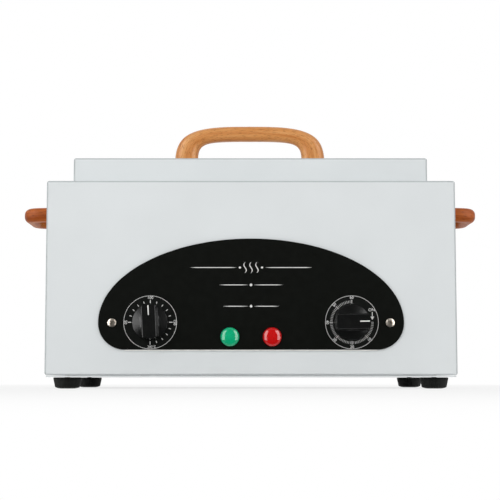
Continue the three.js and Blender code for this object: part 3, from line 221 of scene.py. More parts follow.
# Pressed mica: brown-silver flakes about 3 mm across with a soft pearl gloss.
def pressedMica():
    material, tree, place = newSurface("pressedMica", Roughness=0.4, Sheen_Weight=0.1)
    flakes = cellsOn(tree, place, 330.0)
    tint = tintOver(tree, flakes, (0, "#B7A98A"), (1, "#8A7C60"))
    return dressed(material, tint, reliefFrom(tree, flakes, 0.05, 0.5))


# Braided glass sleeve on the wires, red-brown, with a weave about 0.6 mm across.
def braidedSleeve():
    material, tree, place = newSurface("braidedGlassSleeve", Roughness=0.7)
    weave = addNode(tree, "ShaderNodeTexWave", {"wave_type": "BANDS", "bands_direction": "DIAGONAL"}, {
        "Vector": place, "Scale": 600.0, "Distortion": 1.0, "Detail": 1.0}).outputs["Fac"]
    tint = tintOver(tree, weave, (0, "#6E221B"), (1, "#A64536"))
    return dressed(material, tint, reliefFrom(tree, weave, 0.1, 0.6))


finish = {
    "paint": powderCoat(),
    "zinc": zincPlate(),
    "nickel": plainMetal("nickelPlatedSteel", "#B5AB9F", "#DDD4C8", 0.4, 2.5, 0.5),
    "stainless": brushedStainless(),
    "panel": moulded("satinBlackPanel", "#0D0F0C", "#10120F", 0.42, 0.5, 0.01, 0.06),
    "field": moulded("matteDialField", "#0E100E", "#131513", 0.55, 0.35, 0.02, 0.06),
    "ink": moulded("whiteScreenInk", "#E0E0DE", "#ECECEA", 0.5, 0.3, 0.008, 0.3),
    "knob": moulded("blackPhenolicKnob", "#0F1010", "#131413", 0.22, 0.6, 0.008, 0.36),
    "mark": moulded("whiteMarkPaint", "#E2E2DE", "#F0F0EC", 0.45, 0.4, 0.01, 0.3),
    "rubber": moulded("blackRubber", "#191A19", "#1F201F", 0.68, 0.5, 0.05, 0.12),
    "socket": moulded("blackNylon", "#151615", "#1C1D1C", 0.4, 0.6, 0.02, 0.35),
    "moulding": moulded("greyPhenolic", "#5E6160", "#70736F", 0.5, 0.6, 0.03),
    "green": lampPlastic("greenPolycarbonate", "#03A673", "#0CBE88"),
    "red": lampPlastic("redPolycarbonate", "#C20607", "#D80D10"),
    "paleWood": varnishedBeech(
        "varnishedBeech", "#C07638", "#D69252", "#E2A86C", "#95592B", 0.15, 0.14),
    "darkWood": varnishedBeech(
        "stainedBeech", "#96481A", "#B65F28", "#CA7A3D", "#643010", 0.08, 0.03),
    "wool": glassFelt(),
    "mica": pressedMica(),
    "sleeve": braidedSleeve(),
    "brass": plainMetal("turnedBrass", "#A5843F", "#C6A55B", 0.3, 4, 0.4),
    "copper": plainMetal("drawnCopper", "#A6633C", "#C47E55", 0.32, 4, 0.4),
}

# The finish of each CAD node that stays in view, by the record's slot.
slotFinish = {
    "painted_steel": "paint", "zinc_steel": "zinc", "screw_steel": "nickel", "stainless": "stainless",
    "rubber_foot": "rubber", "panel_black": "panel", "knob_black": "knob", "brass_shaft": "brass",
    "copper_tube": "copper", "grey_moulding": "moulding", "green_lens": "green", "red_lens": "red",
    "pale_wood": "paleWood", "dark_wood": "darkWood", "glass_wool": "wool", "mica": "mica",
    "wire_sleeve": "sleeve",
}
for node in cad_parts.values():
    for materialSlot in node.material_slots:
        materialSlot.material = finish[slotFinish[materialSlot.material.name]]


print("mesh tools")


# Corners as (x, y, radius) become a closed outline with arcs.
def roundedOutline(corners, steps=6):
    outline = []
    for i, (x, y, radius) in enumerate(corners):
        here = Vector((x, y))
        if radius == 0:
            outline.append(here)
            continue
        before = (Vector(corners[i - 1][:2]) - here).normalized()
        after = (Vector(corners[(i + 1) % len(corners)][:2]) - here).normalized()
        half = before.angle(after) / 2
        reach = radius / math.tan(half)
        centre = here + (before + after).normalized() * (radius / math.sin(half))
        first = here + before * reach - centre
        last = here + after * reach - centre
        turn = first.angle_signed(last)
        for step in range(steps + 1):
            outline.append(centre + Matrix.Rotation(-turn * step / steps, 2) @ first)
    return outline


def rectangle(width, height, radius, steps=6):
    x, y = width / 2, height / 2
    return roundedOutline([(-x, -y, radius), (x, -y, radius), (x, y, radius), (-x, y, radius)], steps)


# Turns every face outwards.
def faced(bm):
    bmesh.ops.recalc_face_normals(bm, faces=bm.faces[:])
    return bm


def soften(bm, edges, offset, steps, clamp=False):
    bmesh.ops.bevel(bm, geom=edges, offset=offset, segments=steps, profile=0.5, affect="EDGES",
                    clamp_overlap=clamp)


# Faces between each ring of corners and the next.
def skin(bm, rings):
    for below, above in zip(rings, rings[1:]):
        for k in range(len(below)):
            j = (k + 1) % len(below)
            bm.faces.new((below[k], below[j], above[j], above[k]))


# A flat outline pushed from z = 0 to z = height, its top edge softened where edge is given.
def prism(outline, height, edge=0.0, steps=3):
    bm = bmesh.new()
    low = [bm.verts.new((p[0], p[1], 0)) for p in outline]
    high = [bm.verts.new((p[0], p[1], height)) for p in outline]
    bm.faces.new(low[::-1])
    top = bm.faces.new(high)
    skin(bm, [low, high])
    faced(bm)
    if edge:
        soften(bm, list(top.edges), edge, steps)
    return bm


# A profile of (radius, height) turned about Z. A first point repeated at the end closes a ring.
def turned(profile, steps=48):
    bm = bmesh.new()
    rings = []
    closed = (Vector(profile[0]) - Vector(profile[-1])).length < 1e-6
    for radius, height in (profile[:-1] if closed else profile):
        count = steps if radius > 1e-6 else 1
        rings.append([bm.verts.new((radius * math.cos(2 * math.pi * i / steps),
                                    radius * math.sin(2 * math.pi * i / steps), height))
                      for i in range(count)])
    if closed:
        rings.append(rings[0])
    for below, above in zip(rings, rings[1:]):
        for i in range(steps):
            corners = [below[i % len(below)], below[(i + 1) % len(below)],
                       above[(i + 1) % len(above)], above[i % len(above)]]
            corners = list(dict.fromkeys(corners))
            if len(corners) > 2:
                bm.faces.new(corners)
    return faced(bm)


def roundedBox(low, high, radius, steps=4):
    bm = bmesh.new()
    bmesh.ops.create_cube(bm, size=1)
    size = Vector(high) - Vector(low)
    bm.transform(Matrix.Translation((Vector(low) + Vector(high)) / 2) @ Matrix.Diagonal(size).to_4x4())
    if radius:
        soften(bm, bm.edges[:], radius, steps)
    return faced(bm)


# How far each point lies into a fold between two faces of its box: 1 in the middle of the bend.
def markFoldShade(bm, low, high, bend, openBelow=True):
    # The share is how much painted shade the powder coat puts on each bend.
    share = bm.verts.layers.float.new("foldShadeShare")
    for vert in bm.verts:
        near = []
        for axis in range(3):
            near.append(high[axis] - vert.co[axis])
            if axis < 2 or not openBelow:
                near.append(vert.co[axis] - low[axis])
        first, second = sorted(near)[:2]
        if second < bend - 0.01 and first > 0.001:
            vert[share] = max(0.0, 1 - (second - first) / bend)
    return bm


# A round bar swept along points, closed at its ends.
def bar(points, radius, steps=16):
    bm = bmesh.new()
    points = [Vector(p) for p in points]
    rings = []
    side = None
    for i, point in enumerate(points):
        along = (points[min(i + 1, len(points) - 1)] - points[max(i - 1, 0)]).normalized()
        if side is None:
            side = along.orthogonal().normalized()
        side = (side - along * side.dot(along)).normalized()
        up = along.cross(side)
        rings.append([bm.verts.new(point + (side * math.cos(a) + up * math.sin(a)) * radius)
                      for a in (2 * math.pi * k / steps for k in range(steps))])
    skin(bm, rings)
    bm.faces.new(rings[0][::-1])
    bm.faces.new(rings[-1])
    return faced(bm)


def moved(bm, x=0, y=0, z=0, turn=None):
    bm.transform(Matrix.Translation((x, y, z)) @ (turn or Matrix.Identity(4)))
    return bm


def together(parts):
    whole = bmesh.new()
    for part in parts:
        mesh = bpy.data.meshes.new("work")
        part.to_mesh(mesh)
        part.free()
        whole.from_mesh(mesh)
        bpy.data.meshes.remove(mesh)
    return whole


def workObject(bm):
    mesh = bpy.data.meshes.new("work")
    bm.to_mesh(mesh)
    bm.free()
    obj = bpy.data.objects.new("work", mesh)
    scene.collection.objects.link(obj)
    return obj


def plainMesh(obj):
    bpy.context.view_layer.update()
    graph = bpy.context.evaluated_depsgraph_get()
    return bpy.data.meshes.new_from_object(obj.evaluated_get(graph))


def drop(*objects):
    for obj in objects:
        data = obj.data
        bpy.data.objects.remove(obj)
        if isinstance(data, bpy.types.Mesh):
            bpy.data.meshes.remove(data)


def carve(base, tools, operation="DIFFERENCE"):
    body, cutter = workObject(base), workObject(together(tools))
    modifier = body.modifiers.new("carve", "BOOLEAN")
    modifier.operation = operation
    modifier.solver = "EXACT"
    modifier.object = cutter
    result = bmesh.new()
    mesh = plainMesh(body)
    result.from_mesh(mesh)
    bpy.data.meshes.remove(mesh)
    drop(body, cutter)
    return result


facingFront = Matrix.Rotation(math.pi / 2, 4, "X")


# Smooths the gentle edges, keeps flat faces flat and turns the shape into a finished piece.
def finishPiece(name, shape, material, body, replaced=(), angle=32, weigh=True):
    if isinstance(shape, bmesh.types.BMesh):
        bmesh.ops.remove_doubles(shape, verts=shape.verts[:], dist=0.0005)
        mesh = bpy.data.meshes.new(name)
        shape.to_mesh(mesh)
        shape.free()
        mesh.transform(toMetres)
    else:
        mesh = shape
        mesh.name = name
    mesh.materials.clear()
    mesh.materials.append(finish[material])
    for polygon in mesh.polygons:
        polygon.use_smooth = True
    mesh.set_sharp_from_angle(angle=math.radians(angle))
    obj = bpy.data.objects.new(name, mesh)
    scene.collection.objects.link(obj)
    if weigh:
        weighted = obj.modifiers.new("weigh", "WEIGHTED_NORMAL")
        weighted.keep_sharp = True
        plain = plainMesh(obj)
        obj.modifiers.clear()
        obj.data = plain
        bpy.data.meshes.remove(mesh)
        plain.name = name
    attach(obj, body)
    if replaced:
        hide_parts(*replaced)
    return obj


print("node tools")


# A Geometry Nodes tree with named inputs. steps(tree, start) returns the last geometry socket.
def newTree(name, sizes, steps):
    tree = bpy.data.node_groups.new(name, "GeometryNodeTree")
    tree.interface.new_socket(name="Geometry", in_out="INPUT", socket_type="NodeSocketGeometry")
    kinds = {float: "NodeSocketFloat", int: "NodeSocketInt"}
    for label, value in sizes.items():
        kind = kinds.get(type(value), "NodeSocketMaterial")
        tree.interface.new_socket(name=label, in_out="INPUT", socket_type=kind)
    tree.interface.new_socket(name="Geometry", in_out="OUTPUT", socket_type="NodeSocketGeometry")
    start = tree.nodes.new("NodeGroupInput").outputs
    done = steps(tree, start)
    real = addNode(tree, "GeometryNodeRealizeInstances", {}, {"Geometry": done})
    coloured = addNode(tree, "GeometryNodeSetMaterial", {}, {
        "Geometry": real.outputs["Geometry"], "Material": start["Material"]})
    addNode(tree, "NodeGroupOutput", {}, {"Geometry": coloured.outputs["Geometry"]})
    return tree


# Runs a tree on a start mesh and gives back a plain mesh in millimetres.
def grown(tree, sizes, start=None):
    obj = workObject(start or bmesh.new())
    modifier = obj.modifiers.new(tree.name, "NODES")
    modifier.node_group = tree
    for item in tree.interface.items_tree:
        if item.in_out == "INPUT" and item.name in sizes:
            modifier[item.identifier] = sizes[item.name]
    mesh = plainMesh(obj)
    obj.modifiers.remove(modifier)
    drop(obj)
    return mesh


def asShape(mesh):
    bm = bmesh.new()
    bm.from_mesh(mesh)
    bpy.data.meshes.remove(mesh)
    return bm


def calculate(tree, operation, a, b=0.0):
    return addNode(tree, "ShaderNodeMath", {"operation": operation}, {0: a, 1: b}).outputs[0]


def times(tree, a, b):
    return calculate(tree, "MULTIPLY", a, b)


def vectorOf(tree, x=0.0, y=0.0, z=0.0):
    return addNode(tree, "ShaderNodeCombineXYZ", {}, {"X": x, "Y": y, "Z": z}).outputs["Vector"]


def shifted(tree, geometry, x=0.0, y=0.0, z=0.0):
    return addNode(tree, "GeometryNodeTransform", {}, {
        "Geometry": geometry, "Translation": vectorOf(tree, x, y, z)}).outputs["Geometry"]


def allOf(tree, *geometries):
    node = tree.nodes.new("GeometryNodeJoinGeometry")
    for geometry in geometries:
        tree.links.new(geometry, node.inputs["Geometry"])
    return node.outputs["Geometry"]


def copies(tree, points, instance, **more):
    inputs = dict(Points=points, Instance=instance, **more)
    return addNode(tree, "GeometryNodeInstanceOnPoints", {}, inputs).outputs["Instances"]


# A sheet with rows of slots, drawn flat in x and y and raised from z = 0.
slottedSheetSizes = {
    "Width": 100.0, "Height": 50.0, "Corner": 2.0, "Sheet": 1.2, "Columns": 10, "Rows": 1,
    "Column Pitch": 10.0, "Row Pitch": 10.0, "Slot Width": 3.0, "Slot Length": 18.0,
    "Slot Rise": 0.0, "Opening Width": 0.0, "Opening Height": 0.0, "Opening X": 0.0, "Opening Y": 0.0,
    "Material": None,
}


def slottedSheetSteps(tree, start):
    def roundedFrame(width, height, radius, count):
        frameCurve = addNode(tree, "GeometryNodeCurvePrimitiveQuadrilateral", {"mode": "RECTANGLE"}, {
            "Width": width, "Height": height})
        soft = addNode(tree, "GeometryNodeFilletCurve", {"mode": "POLY"}, {
            "Curve": frameCurve.outputs["Curve"], "Radius": radius})
        soft.inputs[1].default_value = count
        return soft.outputs["Curve"]

    def row(count, pitch, across):
        first = times(tree, times(tree, calculate(tree, "SUBTRACT", count, 1.0), pitch), -0.5)
        where, step = [vectorOf(tree, *((size, 0.0) if across else (0.0, size)))
                       for size in (first, pitch)]
        return addNode(tree, "GeometryNodeMeshLine", {"mode": "OFFSET"}, {
            "Count": count, "Start Location": where, "Offset": step}).outputs["Mesh"]

    outline = roundedFrame(start["Width"], start["Height"], start["Corner"], 6)
    # A slot's ends are rounded by just under half its width, so that no side vanishes.
    end = times(tree, start["Slot Width"], 0.499)
    slot = roundedFrame(start["Slot Width"], start["Slot Length"], end, 6)
    across = copies(tree, row(start["Columns"], start["Column Pitch"], True), slot)
    rows = copies(tree, row(start["Rows"], start["Row Pitch"], False), across)
    slots = addNode(tree, "GeometryNodeRealizeInstances", {}, {"Geometry": rows}).outputs["Geometry"]
    risen = shifted(tree, slots, 0.0, start["Slot Rise"])
    opening = roundedFrame(start["Opening Width"], start["Opening Height"], 1.0, 3)
    placed = shifted(tree, opening, start["Opening X"], start["Opening Y"])
    asked = addNode(tree, "FunctionNodeCompare", {"data_type": "FLOAT", "operation": "GREATER_THAN"}, {
        0: start["Opening Width"], 1: 0.5})
    chosen = addNode(tree, "GeometryNodeSwitch", {"input_type": "GEOMETRY"}, {
        "Switch": asked.outputs[0], "True": placed})
    curves = allOf(tree, chosen.outputs[0], risen, outline)
    flat = addNode(tree, "GeometryNodeFillCurve", {}, {"Curve": curves}).outputs["Mesh"]
    lifted = addNode(tree, "GeometryNodeExtrudeMesh", {}, {
        "Mesh": flat, "Offset": vectorOf(tree, 0.0, 0.0, 1.0), "Offset Scale": start["Sheet"],
        "Individual": False}).outputs["Mesh"]
    under = addNode(tree, "GeometryNodeFlipFaces", {}, {"Mesh": flat}).outputs["Mesh"]
    return addNode(tree, "GeometryNodeMergeByDistance", {}, {
        "Geometry": allOf(tree, lifted, under), "Distance": 0.001}).outputs["Geometry"]


slottedSheet = newTree("slottedSheet", slottedSheetSizes, slottedSheetSteps)


# A piece's own sizes go before the general ones above.
def slotted(own, surface, width, height, **more):
    sizes = {key: own.get(key, value) for key, value in slottedSheetSizes.items()}
    sizes.update(more, Width=width, Height=height, Material=finish[surface])
    return asShape(grown(slottedSheet, sizes))


# Cross-head screws on the points of a mesh, each turned to the point's facing and spin.
screwSizes = {
    "Head Radius": 3.3, "Head Height": 2.0, "Crown": 0.9, "Shank Radius": 2.0, "Shank Length": 6.0,
    "Cross Length": 4.0, "Cross Width": 0.85, "Cross Depth": 1.1, "Material": None,
}


def screwSteps(tree, start):
    head = addNode(tree, "GeometryNodeMeshCylinder", {"fill_type": "TRIANGLE_FAN"}, {
        "Vertices": 28, "Side Segments": 2, "Fill Segments": 5, "Radius": start["Head Radius"],
        "Depth": start["Head Height"]}).outputs["Mesh"]
    raised = shifted(tree, head, z=times(tree, start["Head Height"], 0.5))
    spot = addNode(tree, "ShaderNodeSeparateXYZ", {}, {
        "Vector": addNode(tree, "GeometryNodeInputPosition").outputs["Position"]}).outputs
    out = calculate(tree, "ADD", calculate(tree, "POWER", spot["X"], 2.0),
                    calculate(tree, "POWER", spot["Y"], 2.0))
    share = calculate(tree, "DIVIDE", out, calculate(tree, "POWER", start["Head Radius"], 2.0))
    fall = times(tree, times(tree, share, start["Crown"]), -1.0)
    level = calculate(tree, "DIVIDE", spot["Z"], start["Head Height"])
    domed = addNode(tree, "GeometryNodeSetPosition", {}, {
        "Geometry": raised, "Offset": vectorOf(tree, 0.0, 0.0, times(tree, fall, level))})
    depth = times(tree, start["Cross Depth"], 2.0)
    crossed = addNode(tree, "GeometryNodeMeshBoolean", {"operation": "DIFFERENCE", "solver": "EXACT"}, {
        "Mesh 1": domed.outputs["Geometry"]})
    sizes = (start["Cross Length"], start["Cross Width"])
    for x, y in (sizes, sizes[::-1]):
        cube = addNode(tree, "GeometryNodeMeshCube", {}, {"Size": vectorOf(tree, x, y, depth)})
        bar = shifted(tree, cube.outputs["Mesh"], z=start["Head Height"])
        tree.links.new(bar, crossed.inputs["Mesh 2"])
    shank = addNode(tree, "GeometryNodeMeshCylinder", {}, {
        "Vertices": 20, "Radius": start["Shank Radius"], "Depth": start["Shank Length"]})
    # The shank's top lies just inside the head.
    sunk = shifted(tree, shank.outputs["Mesh"], z=times(tree, start["Shank Length"], -0.499))
    facing = addNode(tree, "GeometryNodeInputNamedAttribute", {"data_type": "FLOAT_VECTOR"}, {
        "Name": "facing"})
    spin = addNode(tree, "GeometryNodeInputNamedAttribute", {"data_type": "FLOAT"}, {"Name": "spin"})
    aligned = addNode(tree, "FunctionNodeAlignRotationToVector", {"axis": "Z"}, {
        "Vector": facing.outputs["Attribute"]})
    turn = addNode(tree, "FunctionNodeAxisAngleToRotation", {}, {"Angle": spin.outputs["Attribute"]})
    spun = addNode(tree, "FunctionNodeRotateRotation", {"rotation_space": "LOCAL"}, {
        "Rotation": aligned.outputs["Rotation"], "Rotate By": turn.outputs["Rotation"]})
    whole = allOf(tree, sunk, crossed.outputs["Mesh"])
    return copies(tree, start["Geometry"], whole, Rotation=spun.outputs["Rotation"])


crossScrews = newTree("crossScrews", screwSizes, screwSteps)


# One piece of screws. Each place is a point, the way its head faces and its spin in radians.
def screws(name, places, nodes, sizes):
    start = bmesh.new()
    facing = start.verts.layers.float_vector.new("facing")
    spin = start.verts.layers.float.new("spin")
    for place, way, turn in places:
        point = start.verts.new(place)
        point[facing] = way
        point[spin] = turn
    sizes = dict(screwSizes, **sizes, Material=finish["nickel"])
    shape = asShape(grown(crossScrews, sizes, start))
    finishPiece(name, shape, "nickel", "housing", nodes, weigh=False)


# Printed marks round a dial: bars from an inner to an outer radius, one at each step of an angle.
tickSizes = {
    "Count": 10, "First": 0.0, "Step": 0.3, "Inner": 14.0, "Outer": 17.0, "Line": 0.5, "Ink": 0.08,
    "Material": None,
}


def tickSteps(tree, start):
    length = calculate(tree, "SUBTRACT", start["Outer"], start["Inner"])
    mark = addNode(tree, "GeometryNodeMeshCube", {}, {
        "Size": vectorOf(tree, start["Line"], length, start["Ink"])})
    index = addNode(tree, "GeometryNodeInputIndex").outputs["Index"]
    angle = calculate(tree, "ADD", times(tree, index, start["Step"]), start["First"])
    middle = times(tree, calculate(tree, "ADD", start["Outer"], start["Inner"]), 0.5)
    x, y = [times(tree, calculate(tree, way, angle), middle) for way in ("SINE", "COSINE")]
    points = addNode(tree, "GeometryNodePoints", {}, {
        "Count": start["Count"], "Position": vectorOf(tree, x, y, 0.0)})
    turn = vectorOf(tree, 0.0, 0.0, times(tree, angle, -1.0))
    return copies(tree, points.outputs[0], mark.outputs["Mesh"], Rotation=turn)


dialTicks = newTree("dialTicks", tickSizes, tickSteps)


print("housing")
housing = {
    "sheet": 1.2, "bend": 1.8, "bendSteps": 8, "rearFlange": 12, "sideFlange": 24, "frontFlange": 12,
    "deckWidth": 261, "deckDepth": 96, "deckCorner": 13, "deckMiddle": 19.75, "cutPast": 4,
}


def housingShell():
    s = housing
    low, high = box("housing_shell")
    inset = Vector((s["sheet"],) * 3)
    shell = roundedBox(low, high, s["bend"], s["bendSteps"])
    hollow = roundedBox(low + inset, high - inset, s["bend"] - s["sheet"], s["bendSteps"])
    shell = carve(shell, [hollow])
    edge, side, past = s["sheet"] + s["rearFlange"], s["sheet"] + s["sideFlange"], s["cutPast"]
    rear = roundedBox((low.x + edge, high.y - past, low.z + edge),
                      (high.x - edge, high.y + past, high.z - edge), 0)
    floorWindow = roundedBox(
        (low.x + side, low.y + s["sheet"] + s["frontFlange"], low.z - past),
        (high.x - side, high.y - edge, low.z + past), 0)
    deck = prism(rectangle(s["deckWidth"], s["deckDepth"], s["deckCorner"]), 2 * past)
    moved(deck, 0, s["deckMiddle"], high.z - past)
    shell = markFoldShade(carve(shell, [rear, floorWindow, deck]), low, high, s["bend"])
    finishPiece("housingShell", shell, "paint", "housing", ["housing_shell"])


housingShell()

backPanel = {
    "Corner": 2.5, "Sheet": 1.2, "Columns": 12, "Column Pitch": 11.0, "Slot Width": 3.0,
    "Slot Length": 18.0, "Opening Width": 27.6, "Opening Height": 20.1, "Opening X": -112.0,
    "inletZ": 39.0, "slotZ": 138.2,
}


def backSheet():
    low, high = box("back_panel")
    middle = (low + high) / 2
    sheet = slotted(backPanel, "paint", high.x - low.x, high.z - low.z, **{
        "Slot Rise": backPanel["slotZ"] - middle.z, "Opening Y": backPanel["inletZ"] - middle.z})
    moved(sheet, middle.x, high.y, middle.z, facingFront)
    finishPiece("backPanel", sheet, "paint", "housing", ["back_panel"])


backSheet()

bottomPlate = {
    "Corner": 2.5, "Sheet": 1.2, "Columns": 22, "Rows": 3, "Column Pitch": 10.6, "Row Pitch": 48.0,
    "Slot Width": 3.0, "Slot Length": 22.0,
}


def bottomSheet():
    low, high = box("bottom_plate")
    sheet = slotted(bottomPlate, "paint", high.x - low.x, high.y - low.y)
    moved(sheet, 0, (low.y + high.y) / 2, low.z)
    finishPiece("bottomPlate", sheet, "paint", "housing", ["bottom_plate"])


bottomSheet()


print("feet and screws")
# The recess's rim goes out from the recess and up from the floor, the lower rim in from the radius
# and up from the arch or the crown, and the top rim in from the radius and down from the top.
foot = {
    "topRadius": 11.2, "bottomRadius": 9.8, "height": 8.7, "crown": 1.1, "recess": 3.6,
    "seat": 4.0, "hole": 2.3, "x": 144.6, "y": (-61.25, 76.75), "steps": 56,
    "recessRim": ((0.0, 0.35), (0.3, 0.05), (1.2, 0.0)), "archShare": 0.75, "archMargin": 0.8,
    "archSteps": 4, "lowerRim": (0.25, 0.18), "lowerRise": 0.4,
    "topRim": ((0.04, 0.9), (0.1, 0.4), (0.45, 0.08), (0.9, 0.0)), "screwSunk": 0.3, "screwSpin": 0.4,
}


def rubberFeet():
    s = foot
    profile = [(s["hole"], s["height"]), (s["hole"], s["seat"]), (s["recess"], s["seat"])]
    profile += [(s["recess"] + out, rise) for out, rise in s["recessRim"]]
    inner, arch = profile[-1][0], s["crown"] * s["archShare"]
    span = s["bottomRadius"] - s["archMargin"] - inner
    for i in range(1, s["archSteps"] + 1):
        share = i / s["archSteps"]
        profile.append((inner + span * share, arch * share ** 2))
    profile += [(s["bottomRadius"] - s["lowerRim"][0], arch + s["lowerRim"][1]),
                (s["bottomRadius"], s["crown"] + s["lowerRise"])]
    profile += [(s["topRadius"] - way, s["height"] - drop) for way, drop in s["topRim"]]
    profile.append((s["hole"], s["height"]))
    for level, y in zip(("front", "rear"), s["y"]):
        for side, x in (("left", -s["x"]), ("right", s["x"])):
            shape = moved(turned(profile, s["steps"]), x, y, 0)
            node = "foot_" + level + "_" + side
            piece = "foot" + level.title() + side.title()
            finishPiece(piece, shape, "rubber", "housing", [node], weigh=False)
    places = [((x, y, s["seat"] - s["screwSunk"]), (0, 0, -1), s["screwSpin"])
              for x in (-s["x"], s["x"]) for y in s["y"]]
    names = ["foot_screw_" + a + "_" + b for a in ("front", "rear") for b in ("left", "right")]
    screws("footScrews", places, names, {"Shank Length": 9.0})


rubberFeet()

panelScrew = {"x": 107.5, "y": -84.45, "z": 50.8, "leftSpin": 0.62, "rightSpin": 1.1}
backScrew = {"x": 150.8, "y": 98.05, "z": (19.5, 153.2)}


def housingScrews():
    s = panelScrew
    places = [((way * s["x"], s["y"], s["z"]), (0, -1, 0), spin)
              for way, spin in ((-1, s["leftSpin"]), (1, s["rightSpin"]))]
    screws("panelScrews", places, ["panel_screw_left", "panel_screw_right"], {
        "Shank Length": 5.0, "Head Height": 2.0, "Cross Width": 1.15, "Cross Depth": 1.5})
    s = backScrew
    # Each cross is turned otherwise, as hands leave them.
    places = [((x, s["y"], z), (0, 1, 0), 0.3 + x / 200 + z / 90)
              for x in (-s["x"], s["x"]) for z in s["z"]]
    names = ["back_screw_" + a + "_" + b for a in ("lower", "upper") for b in ("left", "right")]
    screws("backScrews", places, names, {"Shank Length": 5.0, "Head Height": 2.0})


housingScrews()


print("control panel")
panel = {
    "halfWidth": 118.4, "rise": 65.6, "corner": 20.8, "z": 50.8, "front": -84.15, "thickness": 1.6,
    "edge": 0.5, "cornerSteps": 12, "arcSteps": 96, "highlightStripHeight": 0.8, "highlightStripSetback": 0.25,
    "highlightStripCorner": 0.2,
}


def controlPanel():
    s = panel
    a, r = s["halfWidth"], s["corner"]
    outline = []
    for middle, first in ((r - a, 1), (a - r, 1.5)):
        for i in range(s["cornerSteps"] + 1):
            angle = math.pi * (first + i / (2 * s["cornerSteps"]))
            outline.append((middle + r * math.cos(angle), r * math.sin(angle)))
    for i in range(1, s["arcSteps"]):
        angle = math.pi * i / s["arcSteps"]
        outline.append((a * math.cos(angle), s["rise"] * math.sin(angle)))
    plate = prism(outline, s["thickness"], s["edge"])
    moved(plate, 0, s["front"] + s["thickness"], s["z"], facingFront)
    finishPiece("controlPanel", plate, "panel", "housing", ["control_panel"])
    # A white strip right under the panel's flat edge: a painted highlight standing in for the bright
    # line there.
    depth, corner = s["thickness"] - s["highlightStripSetback"], s["highlightStripCorner"]
    highlightStrip = prism(rectangle(2 * (a - r), s["highlightStripHeight"], corner, 3), depth, corner, 2)
    moved(highlightStrip, 0, s["front"] + s["thickness"], s["z"] - r - s["highlightStripHeight"] / 2, facingFront)
    finishPiece("panelHighlightStrip", highlightStrip, "mark", "housing", weigh=False)


controlPanel()

dial = {
    "x": 78.0, "z": 51.2, "ring": 20.5, "line": 0.25, "field": 20.3, "fieldRise": 0.05,
    "fieldSunk": 0.2, "steps": 96, "ink": 0.12, "digits": 2.15, "digitRadius": 19.05,
    "unitShare": 0.82, "onHeight": 2.2, "onDegrees": 58, "onRadius": 18.0, "arrowX": 15.8,
    "arrowStem": ((-0.25, 4.6), (0.25, 4.6), (0.25, 7.9), (-0.25, 7.9)),
    "arrowHead": ((-1.5, 4.4), (0, 1.9), (1.5, 4.4)),
}
tickStyle = {
    "degrees": {"Line": 0.48, "Inner": 15.1, "Outer": 16.8},
    "quarters": {"Line": 0.52, "Inner": 14.7, "Outer": 17.3},
    "minutes": {"Line": 0.24, "Inner": 14.9, "Outer": 16.9},
    "tenMinutes": {"Line": 0.5, "Inner": 14.6, "Outer": 17.3},
}


capitalShare = 0.69  # of the built-in font's size


# Words and numbers as a closed mesh, their middle at x, y = 0 and their top towards +y.
def letters(text, height, depth, weight=0.0):
    curve = bpy.data.curves.new("work", "FONT")
    curve.body = text
    curve.size = height / capitalShare
    curve.align_x = "CENTER"
    curve.align_y = "CENTER"
    curve.extrude = depth / 2
    curve.offset = weight * height
    curve.resolution_u = 3
    obj = bpy.data.objects.new("work", curve)
    scene.collection.objects.link(obj)
    shape = asShape(plainMesh(obj))
    bpy.data.objects.remove(obj)
    bpy.data.curves.remove(curve)
    bmesh.ops.remove_doubles(shape, verts=shape.verts[:], dist=0.0005)
    return shape


def ringMark(inner, outer, depth, steps):
    h = depth / 2
    return turned([(inner, -h), (outer, -h), (outer, h), (inner, h), (inner, -h)], steps)


# Degrees clockwise from 12 o'clock, as seen from the front.
def onDial(shape, degrees, radius, turn=0.0):
    a = math.radians(degrees)
    spin = Matrix.Rotation(-math.radians(turn), 4, "Z")
    return moved(shape, radius * math.sin(a), radius * math.cos(a), 0, spin)


def ticks(style, count, first, step):
    sizes = dict(tickStyle[style], Count=count, First=math.radians(first), Step=math.radians(step),
                 Ink=dial["ink"], Material=finish["ink"])
    return asShape(grown(dialTicks, sizes))


def printOn(name, marks, x, z):
    shape = moved(together(marks), x, panel["front"] - dial["fieldRise"], z, facingFront)
    return finishPiece(name, shape, "ink", "housing", weigh=False)


def dialPrints():
    s = dial
    for name, x in (("thermostat", -s["x"]), ("timer", s["x"])):
        disc = turned([(0, -s["fieldSunk"]), (s["field"], -s["fieldSunk"]),
                       (s["field"], s["fieldRise"]), (0, s["fieldRise"])], s["steps"])
        moved(disc, x, panel["front"], s["z"], facingFront)
        finishPiece(name + "DialField", disc, "field", "housing", weigh=False)

    def ring():
        half = s["line"] / 2
        return ringMark(s["ring"] - half, s["ring"] + half, s["ink"], s["steps"])

    def number(text, degrees, turn=0.0, share=1.0):
        return onDial(letters(text, s["digits"] * share, s["ink"]), degrees, s["digitRadius"], turn)

    marks = [ring()] + [ticks("degrees", 4, first, 18) for first in (18, 108, 288)]
    marks += [ticks("quarters", 4, 270, 90), number("100", 0), number("150", 90, 90),
              number("50", 270, 90), number("200°C", 176, 0, s["unitShare"])]
    printOn("thermostatDialPrint", marks, -s["x"], s["z"])

    marks = [ring(), ticks("minutes", 61, 90, 4.5), ticks("tenMinutes", 6, 135, 45)]
    for text, degrees, turn in (("60", 0, 0), ("50", -45, -45), ("40", -90, 90), ("30", -135, 45),
                                ("20", 180, 0), ("10", 135, -45)):
        marks.append(number(text, degrees, turn))
    marks.append(onDial(letters("ON", s["onHeight"], s["ink"]), s["onDegrees"], s["onRadius"]))
    for outline in (s["arrowStem"], s["arrowHead"]):
        marks.append(moved(prism(outline, s["ink"]), s["arrowX"], 0, -s["ink"] / 2))
    printOn("timerDialPrint", marks, s["x"], s["z"])


dialPrints()

